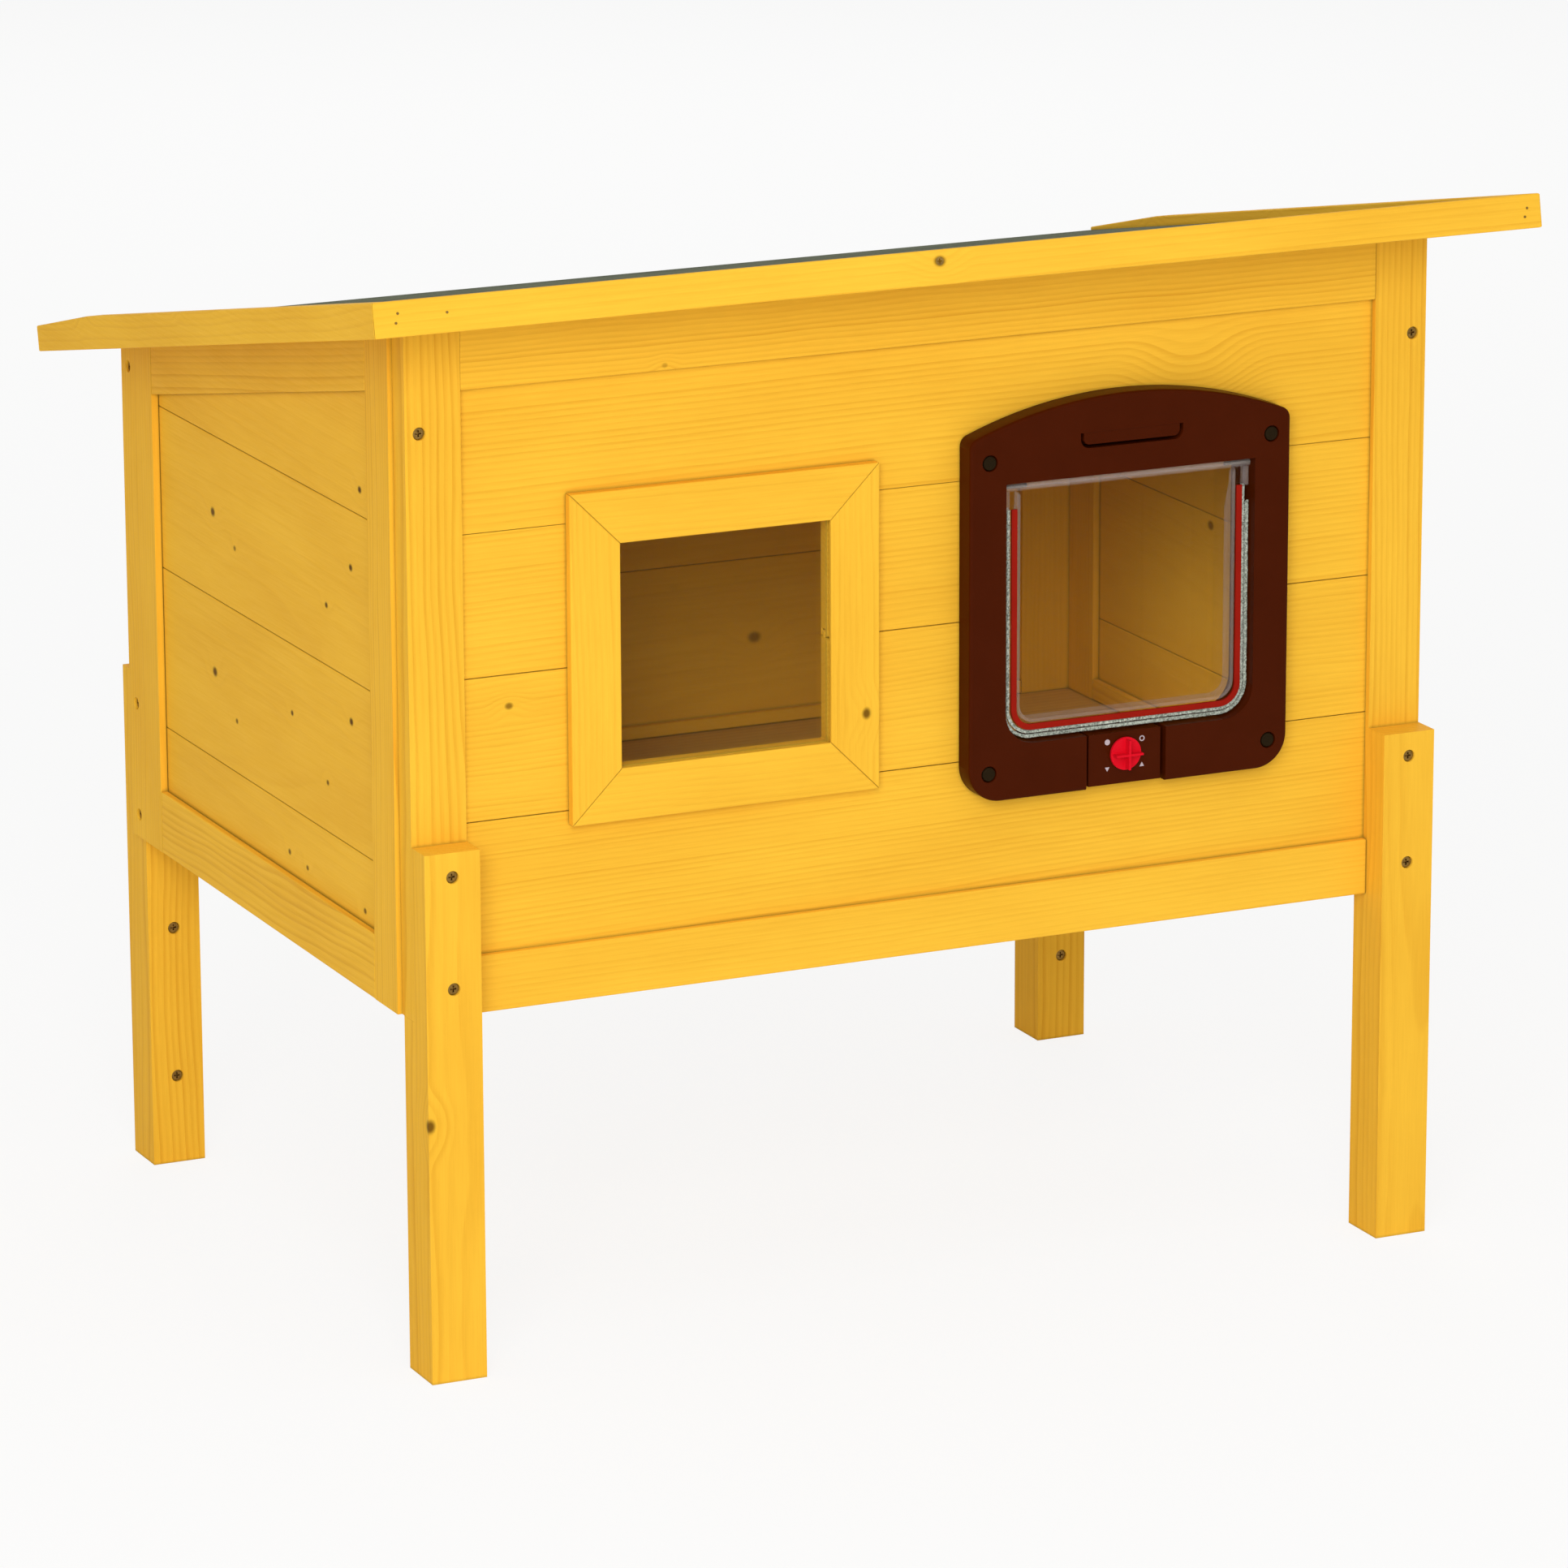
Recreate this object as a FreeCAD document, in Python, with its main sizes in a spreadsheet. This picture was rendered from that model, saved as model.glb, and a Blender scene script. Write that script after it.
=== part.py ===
import FreeCAD, Part
import math
import os
import re

import Sketcher

Vector = FreeCAD.Vector

# Driving sizes, in millimetres, with the roof pitch in degrees
SIZES = {
    # Wall frames
    "house_depth": 464,
    "roof_pitch": 11.4,
    "side_proud": 3,
    "frame_thickness": 18,
    "stile_face": 35,
    "front_top_rail": 43,
    "front_bottom_rail": 35,
    "side_top_rail": 38,
    "side_bottom_rail": 40,
    "back_top_rail": 40,
    # Tongue and groove boards, and the floor
    "board_thickness": 8,
    "board_recess": 5,
    "groove_depth": 6,
    "slot_clearance": 0.4,
    "tongue_length": 4,
    "tongue_thickness": 3,
    "seam_gap": 0.3,
    "front_seam_margin": 7.3,
    "front_tongue_margin": 2.3,
    "side_low_board": 41.5,
    "side_board_face": 103.5,
    "floor_thickness": 6,
    "floor_lift": 20,
    "floor_groove": 3.5,
    # Legs
    "leg_width": 35,
    "leg_board_thickness": 20,
    "leg_block_thickness": 15,
    "leg_block_height": 219,
    "leg_lap": 106,
    # Wood screws and where they are driven
    "screw_radius": 2,
    "screw_head_radius": 3.8,
    "screw_head_height": 2,
    "screw_sink": 1.5,
    "screw_clearance": 0.1,
    "leg_screw_length": 30,
    "block_screw_length": 26,
    "corner_screw_length": 40,
    "leg_screw_low": 23,
    "leg_screw_inset": 15,
    "block_screw_low": 58,
    "block_screw_inset": 62,
    "front_screw_inset": 66,
    "corner_screw_low": 15,
    "corner_screw_mid": 88,
    "corner_screw_inset": 18,
    # Roof
    "front_overhang": 64,
    "back_overhang": 43,
    "side_overhang": 43,
    "deck_thickness": 6,
    "felt_thickness": 1.5,
    "fascia_thickness": 12,
    "fascia_height": 20.7,
    "fascia_stand": 6.6,
    "fascia_taper_length": 96,
    "fascia_taper_drop": 4.5,
    "lid_gap": 0.3,
    # Roof hinges
    "hinge_inset": 120,
    "hinge_length": 50,
    "hinge_radius": 3,
    "hinge_gap": 0.3,
    "hinge_leaf_width": 25,
    "hinge_leaf_thickness": 1.5,
    "hinge_pin_radius": 1.5,
    "hinge_pin_fit": 0.05,
    "hinge_screw_radius": 1.5,
    "hinge_screw_head_radius": 2.8,
    "hinge_screw_head_height": 1,
    "hinge_screw_length": 4.2,
    "hinge_screw_spread": 15,
    "hinge_screw_reach": 15,
    # Window
    "window_size": 200,
    "window_trim_width": 32,
    "window_trim_thickness": 7,
    "window_foot_gap": 72,
    "window_side_gap": 67,
    "window_flap_gap": 56,
    "pane_thickness": 3,
    "pane_lap": 6,
    # Cat flap frame
    "flap_side_gap": 63,
    "flap_foot_gap": 57,
    "flap_head_gap": 39,
    "flap_frame_width": 216,
    "flap_frame_height": 244,
    "flap_frame_depth": 15,
    "flap_arch_radius": 282,
    "flap_foot_radius": 21,
    "flap_shoulder_radius": 7,
    "flap_edge_radius": 2,
    "flap_wall": 3,
    "flap_jamb": 24,
    "flap_sill": 34,
    "flap_head": 49,
    "flap_opening_radius": 20,
    "grip_width": 69,
    "grip_height": 9.5,
    "grip_lift": 17,
    "grip_radius": 6,
    "grip_gap": 2.2,
    "grip_set": 0.3,
    "inner_frame_thickness": 8,
    "inner_frame_inset": 5,
    "inner_frame_radius": 12,
    # Cat flap screws and their caps
    "cap_radius": 5,
    "cap_thickness": 1.5,
    "cap_seat_depth": 5,
    "cap_fit": 0.1,
    "cap_side_inset": 13,
    "cap_foot_inset": 17.5,
    "cap_head_inset": 35,
    "cap_boss_radius": 14,
    "flap_screw_radius": 1.8,
    "flap_screw_head_radius": 3.5,
    "flap_screw_head_height": 2.5,
    "flap_screw_length": 24,
    # Swinging flap
    "flap_set": 8,
    "flap_thickness": 3,
    "flap_clearance": 0.6,
    "flap_foot_clearance": 1.2,
    "barrel_radius": 2.6,
    "barrel_gap": 0.8,
    "pivot_radius": 1.25,
    "pivot_fit": 0.05,
    "pivot_length": 20,
    "brush_width": 5,
    "brush_depth": 4,
    "brush_fit": 0.1,
    "brush_drop": 17,
    "seal_width": 3.6,
    "seal_thickness": 1.5,
    "seal_inset": 0.5,
    # Flap lock
    "lock_width": 49,
    "lock_gap": 2.4,
    "lock_shift": 2.2,
    "lock_foot": 1.2,
    "lock_set": 2.4,
    "lock_top_gap": 0.5,
    "knob_radius": 10.2,
    "knob_thickness": 2,
    "knob_gap": 0.3,
    "knob_rise": 20,
    "knob_fin_width": 1.4,
    "knob_fin_height": 5.5,
    "knob_fin_margin": 1,
    "knob_shaft_radius": 3,
    "knob_shaft_length": 9,
    "knob_shaft_fit": 0.08,
    "pawl_width": 12,
    "pawl_thickness": 1.5,
    "pawl_height": 16,
    "pawl_offset": 14,
    "pawl_gap": 0.6,
    "pawl_clearance": 0.2,
}

# Places and sizes that follow from the driving ones
PLACES = {
    "front_width": "2 * stile_face + window_side_gap + window_size + window_flap_gap"
                   " + flap_frame_width + flap_side_gap",
    "front_height": "front_bottom_rail + flap_foot_gap + flap_frame_height"
                    " + flap_head_gap + front_top_rail",
    "half_width": "front_width / 2",
    "side_out": "half_width + side_proud",
    "side_in": "side_out - frame_thickness",
    "panel_base": "leg_block_height",
    "eaves": "panel_base + front_height",
    "back_eaves": "eaves - house_depth * tan(roof_pitch)",
    "back_stile_face": "stile_face + frame_thickness",
    # The roof in its own tilted frame, which starts at the eaves over the front wall's face
    "lid_half": "half_width + side_overhang",
    "lid_length": "front_overhang + house_depth / cos(roof_pitch) + back_overhang",
    "lid_end": "lid_length - front_overhang",
    "felt_top": "deck_thickness + felt_thickness",
    "fascia_top": "felt_top + fascia_stand",
    "fascia_foot": "fascia_top - fascia_height",
    "taper_angle": "atan(fascia_taper_drop / fascia_taper_length) / 1deg",
    # The front wall's face is set so that the whole object is centred front to back
    "lid_front_reach": "fascia_foot * sin(roof_pitch) - front_overhang * cos(roof_pitch)",
    "lid_back_reach": "felt_top * sin(roof_pitch) + lid_end * cos(roof_pitch)",
    "front_face": "-(lid_front_reach + lid_back_reach) / 2",
    "back_face": "front_face + house_depth",
    "board_face": "front_face + board_recess",
    # Hinge axis: one knuckle radius and a gap away from the back wall and from the deck
    "hinge_x": "side_in - hinge_inset",
    "hinge_y": "back_face + hinge_radius + hinge_gap",
    "hinge_z": "eaves - (hinge_radius + hinge_gap + (hinge_y - front_face) * sin(roof_pitch))"
               " / cos(roof_pitch)",
    "hinge_v": "(hinge_y - front_face) * cos(roof_pitch) - (hinge_z - eaves) * sin(roof_pitch)",
    "hinge_knuckle": "hinge_length / 3",
    # Window
    "window_x": "stile_face + window_side_gap + window_size / 2 - half_width",
    "window_z": "panel_base + front_bottom_rail + window_foot_gap + window_size / 2",
    "window_clear": "window_size - 2 * window_trim_width",
    "pane_size": "window_clear + 2 * pane_lap",
    # Cat flap, whose own frame starts at the foot of its outer frame, on the boards' face
    "flap_x": "half_width - stile_face - flap_side_gap - flap_frame_width / 2",
    "flap_z": "panel_base + front_bottom_rail + flap_foot_gap",
    "flap_front": "board_face - flap_frame_depth",
    "shoulder": "flap_frame_height - flap_arch_radius"
                " + sqrt(flap_arch_radius ^ 2 - flap_frame_width ^ 2 / 4)",
    "opening_half": "flap_frame_width / 2 - flap_jamb",
    "opening_top": "flap_frame_height - flap_head",
    "tunnel_foot": "flap_sill - flap_wall - slot_clearance",
    "tunnel_top": "opening_top + flap_wall + slot_clearance",
    "grip_foot": "opening_top + grip_lift",
    "cap_x": "flap_frame_width / 2 - cap_side_inset",
    "cap_top_z": "flap_frame_height - cap_head_inset",
    "flap_plane": "flap_set - flap_frame_depth",
    "pivot_z": "opening_top - barrel_radius - barrel_gap",
    "brush_half": "opening_half - flap_clearance",
    "brush_foot": "flap_sill + flap_foot_clearance",
    "brush_round": "flap_opening_radius - flap_clearance",
    "panel_half": "brush_half - brush_width - brush_fit",
    "panel_foot": "brush_foot + brush_width + brush_fit",
    "panel_round": "brush_round - brush_width - brush_fit",
    "lock_x": "flap_x - lock_shift",
    "lock_top": "flap_sill - lock_top_gap",
    "lock_front": "flap_front + lock_set",
    "pawl_foot": "lock_top - pawl_height - lock_top_gap",
    # Seams of the front boards: the two in the middle reach past both cut-outs, so neither parts them
    "front_low_seam": "min(flap_z + tunnel_foot; window_z - window_clear / 2) - front_seam_margin",
    "front_high_seam": "max(flap_z + tunnel_top; window_z + window_clear / 2)"
                       " + front_tongue_margin - tongue_length",
    "front_mid_seam": "(front_low_seam + front_high_seam) / 2",
}

doc = FreeCAD.newDocument("cat_house")
sheet_names = {}
pieces = {}


def cells(text):
    """Write a size's name in full, so that stile_face becomes Sizes.stile_face."""
    return re.sub(r"[a-z][a-z_]*", lambda word: sheet_names.get(word.group(), word.group()), str(text))


def fill_sheet(title, rows, lead):
    sheet = doc.addObject("Spreadsheet::Sheet", title)
    for row, (alias, text) in enumerate(rows.items(), start=1):
        sheet.set(f"A{row}", alias)
        sheet.set(f"B{row}", lead + cells(text))
        sheet.setAlias(f"B{row}", alias)
    doc.recompute()
    sheet_names.update({alias: f"{title}.{alias}" for alias in rows})
    return sheet


sizes = fill_sheet("Sizes", SIZES, "")
fill_sheet("Places", PLACES, "=")


def value(text):
    return float(sizes.evalExpression(cells(text)))


def bind(item, path, text):
    item.setExpression(path, cells(text))


def set_down(item, x, y, z):
    for axis, text in zip("xyz", (x, y, z)):
        bind(item, f"Placement.Base.{axis}", text)


def piece(label, item):
    """Name a finished sub-part."""
    item.Label = label
    pieces[label] = item
    return item


def block(name, size, corner):
    box = doc.addObject("Part::Box", name)
    for side, text in zip(("Length", "Width", "Height"), size):
        bind(box, side, text)
    set_down(box, *corner)
    return box


def cut(name, base, *tools):
    for number, tool in enumerate(tools, start=1):
        left = doc.addObject("Part::Cut", f"{name}_cut_{number}")
        left.Base = base
        left.Tool = tool
        base = left
    return base


def fuse(name, *items):
    whole = doc.addObject("Part::MultiFuse", name)
    whole.Shapes = list(items)
    return whole


def group(name, items):
    """Separate solids of one kind under one name."""
    members = doc.addObject("Part::Compound", name)
    members.Links = list(items)
    return members


# Turns that lay a cylinder's own axis along a direction
TURNS = {
    "+x": FreeCAD.Rotation(Vector(0, 1, 0), 90),
    "-x": FreeCAD.Rotation(Vector(0, 1, 0), -90),
    "+y": FreeCAD.Rotation(Vector(1, 0, 0), -90),
    "-y": FreeCAD.Rotation(Vector(1, 0, 0), 90),
}


def rod(name, radius, length, start, way, skip="0"):
    """A cylinder from a start point, a skipped distance along one of the four ways."""
    cylinder = doc.addObject("Part::Cylinder", name)
    bind(cylinder, "Radius", radius)
    bind(cylinder, "Height", length)
    cylinder.Placement = FreeCAD.Placement(Vector(), TURNS[way])
    place = list(start)
    axis = "xyz".index(way[1])
    place[axis] = f"{start[axis]} {way[0]} ({skip})"
    set_down(cylinder, *place)
    return cylinder


def mirrored(sign, near, far):
    """Start and length along X of a piece between two distances from the middle, on one side."""
    start = near if sign > 0 else f"-({far})"
    return start, f"({far}) - ({near})"


# Roof frame: v runs back along the slope, n stands up from the underside of the deck
def on_lid(x, v, n):
    y = f"front_face + ({v}) * cos(roof_pitch) + ({n}) * sin(roof_pitch)"
    z = f"eaves - ({v}) * sin(roof_pitch) + ({n}) * cos(roof_pitch)"
    return x, y, z


def tilt(item, angle="roof_pitch"):
    item.Placement = FreeCAD.Placement(Vector(), FreeCAD.Rotation(Vector(-1, 0, 0), 1))
    bind(item, "Placement.Rotation.Angle", angle)


def lid_block(name, size, corner):
    box = block(name, size, on_lid(*corner))
    tilt(box)
    return box


def lid_space(name, foot):
    """Everything above a plane that lies parallel to the roof."""
    return lid_block(name, ("2 * lid_half", "lid_length", "eaves"), ("-lid_half", "-front_overhang", foot))


# Wood screws: every hole is the screw's own shape with a clearance
wood_screws = []


def wood_screw(name, start, way, length):
    """Drive one sunk screw and give back its hole."""
    depth = "screw_sink + screw_head_height"
    head = rod(f"{name}_head", "screw_head_radius", "screw_head_height", start, way, "screw_sink")
    shank = rod(f"{name}_shank", "screw_radius", length, start, way, depth)
    wood_screws.append(fuse(name, head, shank))
    mouth = rod(f"{name}_mouth", "screw_head_radius + screw_clearance", depth, start, way)
    bore = rod(f"{name}_bore", "screw_radius + screw_clearance",
               f"{depth} + {length} + screw_clearance", start, way)
    return fuse(f"{name}_hole", mouth, bore)


def leg_screw_spots(sign, end):
    """The two screws that hold a leg board to the wall behind it."""
    if end == "front":
        across = "half_width - leg_width / 2"
        levels = ("leg_screw_low", "leg_lap - leg_screw_inset")
        face, way = "front_face - leg_board_thickness", "+y"
    else:
        across = "(side_in + half_width - leg_width) / 2"
        levels = tuple(f"corner_screw_low + {third} * (corner_screw_mid - corner_screw_low) / 3"
                       for third in (1, 2))
        face, way = "back_face + leg_board_thickness", "-y"
    return [((f"{sign} * ({across})", face, f"panel_base + {level}"), way) for level in levels]


leg_holes = {}
block_holes = {}
front_corner_holes = {}
side_corner_holes = {}
for side, sign in (("left", -1), ("right", 1)):
    for end in ("front", "back"):
        key = f"{end}_{side}"
        leg_holes[key] = [wood_screw(f"leg_screw_{key}_{number}", start, way, "leg_screw_length")
                          for number, (start, way) in enumerate(leg_screw_spots(sign, end), start=1)]
        inner, way = (("front_face + leg_block_thickness", "-y") if end == "front"
                      else ("back_face - leg_block_thickness", "+y"))
        middle = f"{sign} * (half_width - leg_width / 2)"
        levels = ("block_screw_low", "leg_block_height - block_screw_inset")
        block_holes[key] = [wood_screw(f"block_screw_{key}_{number}", (middle, inner, level), way,
                                       "block_screw_length")
                            for number, level in enumerate(levels, start=1)]
    corner_middle = f"{sign} * (half_width - frame_thickness / 2)"
    front_corner_holes[side] = wood_screw(
        f"front_corner_screw_{side}", (corner_middle, "front_face", "eaves - front_screw_inset"), "+y",
        "corner_screw_length")
    inward = "+x" if sign < 0 else "-x"
    heights = ("panel_base + corner_screw_low", "panel_base + corner_screw_mid",
               "back_eaves - corner_screw_inset")
    side_corner_holes[side] = [
        wood_screw(f"side_corner_screw_{side}_{number}",
                   (f"{sign} * side_out", "back_face - 2 * frame_thickness / 3", height), inward,
                   "corner_screw_length")
        for number, height in enumerate(heights, start=1)]
piece("wood_screws", group("wood_screw_group", wood_screws))

# Floor: a thin panel in a slot that runs round the foot of all four walls
floor_size = ("2 * (side_in + floor_groove)", "house_depth - 2 * frame_thickness + 2 * floor_groove",
              "floor_thickness")
floor_corner = ("-side_in - floor_groove", "front_face + frame_thickness - floor_groove",
                "panel_base + floor_lift")
floor_holes = [hole for holes in (*leg_holes.values(), *side_corner_holes.values()) for hole in holes]
floor_screw_ways = group("floor_screw_ways", floor_holes)
piece("floor_panel", cut("floor_panel", block("floor_sheet", floor_size, floor_corner), floor_screw_ways))
floor_slot = block("floor_slot", [f"{text} + 2 * slot_clearance" for text in floor_size],
                   [f"{text} - slot_clearance" for text in floor_corner])

roof_space = lid_space("roof_space", "-lid_gap")


def timber(name, along, span, face, rise):
    """A straight piece that runs along x or y: span is its run, face its thickness, rise its height."""
    run, thick = (0, 1) if along == "x" else (1, 0)
    size = ["", "", rise[1]]
    corner = ["", "", rise[0]]
    corner[run], size[run] = span
    corner[thick], size[thick] = face
    return block(name, size, corner)


def board_row(name, along, span, face, levels):
    """Tongue and groove boards between levels, tongue up, each tongue in the next board's groove.

    A board stops a seam's gap short of the next one, which leaves the wood room to swell."""
    face_start, thickness = face
    middle = f"{face_start} + ({thickness}) / 2"
    row = []
    last = len(levels) - 2
    for number, (foot, top) in enumerate(zip(levels, levels[1:])):
        gap = "seam_gap" if number < last else "0"
        board = timber(f"{name}_{number + 1}_blank", along, span, face, (foot, f"{top} - ({foot}) - {gap}"))
        if number < last:
            tongue = timber(f"{name}_{number + 1}_tongue", along, span,
                            (f"{middle} - tongue_thickness / 2", "tongue_thickness"),
                            (f"{top} - seam_gap", "tongue_length + seam_gap"))
            board = fuse(f"{name}_{number + 1}_tongued", board, tongue)
        if number > 0:
            groove = timber(f"{name}_{number + 1}_groove", along, span,
                            (f"{middle} - tongue_thickness / 2 - slot_clearance",
                             "tongue_thickness + 2 * slot_clearance"),
                            (foot, "tongue_length + slot_clearance"))
            board = cut(f"{name}_{number + 1}_grooved", board, groove)
        row.append(board)
    return row


def wider(start, length):
    """A run with the slot's clearance at both ends."""
    return f"{start} - slot_clearance", f"{length} + 2 * slot_clearance"


# Cat flap outlines, drawn on the flap's own upright plane
def upright_body(name):
    body = doc.addObject("PartDesign::Body", name)
    set_down(body, "flap_x", "board_face", "flap_z")
    return body


def base_plane(body, role):
    return next(plane for plane in body.Origin.OriginFeatures if plane.Role == role)


def outline(body, name, points, arcs=None, forward="0", role="XZ_Plane"):
    """A closed outline, anticlockwise. Arcs gives the radius of the edges that are round."""
    sketch = body.newObject("Sketcher::SketchObject", name)
    sketch.AttachmentSupport = (base_plane(body, role), [""])
    sketch.MapMode = "FlatFace"
    bind(sketch, "AttachmentOffset.Base.z", forward)
    arcs = arcs or {}
    spots = [Vector(value(x), value(y), 0) for x, y in points]
    count = len(points)
    for edge, (start, end) in enumerate(zip(spots, spots[1:] + spots[:1])):
        if edge in arcs:
            radius = value(arcs[edge])
            chord = end - start
            side = Vector(-chord.y, chord.x, 0).normalize()
            middle = (start + end) * 0.5 + side * math.sqrt(radius ** 2 - chord.Length ** 2 / 4)
            angles = [math.atan2(spot.y - middle.y, spot.x - middle.x) for spot in (start, end)]
            sketch.addGeometry(Part.ArcOfCircle(Part.Circle(middle, Vector(0, 0, 1), radius), *angles), False)
        else:
            sketch.addGeometry(Part.LineSegment(start, end), False)
    for edge in range(count):
        sketch.addConstraint(Sketcher.Constraint("Coincident", edge, 2, (edge + 1) % count, 1))
    for edge, (x, y) in enumerate(points):
        for kind, text in (("DistanceX", x), ("DistanceY", y)):
            number = sketch.addConstraint(Sketcher.Constraint(kind, -1, 1, edge, 1, value(text)))
            bind(sketch, f"Constraints[{number}]", text)
    for edge, radius in arcs.items():
        number = sketch.addConstraint(Sketcher.Constraint("Radius", edge, value(radius)))
        bind(sketch, f"Constraints[{number}]", radius)
    return sketch


def rectangle(body, name, left, right, foot, top, forward="0"):
    return outline(body, name, [(left, foot), (right, foot), (right, top), (left, top)], None, forward)


def u_outline(body, name, half, foot, top, radius, forward="0"):
    """A door shape with square shoulders and round feet."""
    points = [(f"{radius} - ({half})", foot), (f"{half} - ({radius})", foot),
              (half, f"{foot} + {radius}"), (half, top), (f"-({half})", top),
              (f"-({half})", f"{foot} + {radius}")]
    return outline(body, name, points, {1: radius, 5: radius}, forward)


def round_mark(body, name, centres, radius, forward="0", role="XZ_Plane"):
    """Circles of one radius at the given centres."""
    sketch = body.newObject("Sketcher::SketchObject", name)
    sketch.AttachmentSupport = (base_plane(body, role), [""])
    sketch.MapMode = "FlatFace"
    bind(sketch, "AttachmentOffset.Base.z", forward)
    for edge, (x, y) in enumerate(centres):
        sketch.addGeometry(Part.Circle(Vector(value(x), value(y), 0), Vector(0, 0, 1), value(radius)), False)
        for kind, text in (("DistanceX", x), ("DistanceY", y)):
            number = sketch.addConstraint(Sketcher.Constraint(kind, -1, 1, edge, 3, value(text)))
            bind(sketch, f"Constraints[{number}]", text)
        number = sketch.addConstraint(Sketcher.Constraint("Radius", edge, value(radius)))
        bind(sketch, f"Constraints[{number}]", radius)
    return sketch


def pad(body, sketch, length, backward=False, both_ways=False):
    """Add material towards the front, or towards the back."""
    feature = body.newObject("PartDesign::Pad", f"{sketch.Name}_pad")
    feature.Profile = sketch
    feature.Reversed = backward
    feature.Midplane = both_ways
    bind(feature, "Length", length)
    doc.recompute()
    return feature


def pocket(body, sketch, depth, forward=False, both_ways=False):
    """Take material away towards the back, or towards the front, and check that some went."""
    before = body.Shape.Volume
    feature = body.newObject("PartDesign::Pocket", f"{sketch.Name}_pocket")
    feature.Profile = sketch
    feature.Reversed = forward
    feature.Midplane = both_ways
    bind(feature, "Length", depth)
    doc.recompute()
    if not body.Shape.Volume < before:
        raise RuntimeError(f"{sketch.Name} cut nothing")
    return feature


def round_edges(body, base, name, radius, chosen):
    """Round the edges of the body that the chooser accepts, by the middle of each edge."""
    edges = [f"Edge{number}" for number, edge in enumerate(base.Shape.Edges, start=1)
             if chosen(edge.valueAt((edge.FirstParameter + edge.LastParameter) / 2))]
    feature = body.newObject("PartDesign::Fillet", name)
    feature.Base = (base, edges)
    bind(feature, "Radius", radius)
    doc.recompute()
    return feature


near = 0.001
cap_spots = [(f"{sign} * cap_x", level) for sign in (-1, 1) for level in ("cap_foot_inset", "cap_top_z")]


def through_flap_wall(name, radius):
    """Rods through the boards where the cat flap's screws pass."""
    rods = [rod(f"{name}_{number}", radius, "board_thickness",
                (f"flap_x + {x}", "board_face", f"flap_z + {z}"), "+y")
            for number, (x, z) in enumerate(cap_spots, start=1)]
    return group(name, rods)


# Front wall: two stiles, two rails and four boards, with cut-outs for the window and the cat flap
front_thick = ("front_face", "frame_thickness")
field_half = "half_width - stile_face"
front_boards_foot = "panel_base + front_bottom_rail - groove_depth"
front_boards_top = "eaves - front_top_rail + groove_depth"
front_run = (f"-({field_half} + groove_depth)", f"2 * ({field_half} + groove_depth)")
front_slot = timber("front_slot", "x", wider(*front_run), wider("board_face", "board_thickness"),
                    wider(front_boards_foot, f"{front_boards_top} - ({front_boards_foot})"))
for side, sign in (("left", -1), ("right", 1)):
    blank = timber(f"front_stile_{side}_blank", "x", mirrored(sign, field_half, "half_width"), front_thick,
                   ("panel_base", "front_height"))
    piece(f"front_stile_{side}", cut(f"front_stile_{side}", blank, roof_space, front_slot, floor_slot,
                                     front_corner_holes[side], *leg_holes[f"front_{side}"]))
rail_run = (f"-({field_half})", f"2 * ({field_half})")
blank = timber("front_top_rail_blank", "x", rail_run, front_thick,
               ("eaves - front_top_rail", "front_top_rail"))
piece("front_top_rail", cut("front_top_rail", blank, roof_space, front_slot))
blank = timber("front_bottom_rail_blank", "x", rail_run, front_thick, ("panel_base", "front_bottom_rail"))
piece("front_bottom_rail", cut("front_bottom_rail", blank, front_slot, floor_slot))

window_hole = block("window_hole", ("window_clear", "board_thickness", "window_clear"),
                    ("window_x - window_clear / 2", "board_face", "window_z - window_clear / 2"))
tunnel = upright_body("flap_cut_out")
tunnel_outline = u_outline(tunnel, "tunnel_outline", "opening_half + flap_wall + slot_clearance",
                           "tunnel_foot", "tunnel_top", "flap_opening_radius + flap_wall")
pad(tunnel, tunnel_outline, "board_thickness", backward=True)
screw_ways = through_flap_wall("flap_screw_ways", "flap_screw_radius + screw_clearance")
front_levels = [front_boards_foot, "front_low_seam", "front_mid_seam", "front_high_seam", front_boards_top]
front_row = board_row("front_board", "x", front_run, ("board_face", "board_thickness"), front_levels)
for number, board in enumerate(front_row, start=1):
    piece(f"front_board_{number}", cut(f"front_board_{number}", board, window_hole, tunnel, screw_ways))

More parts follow.
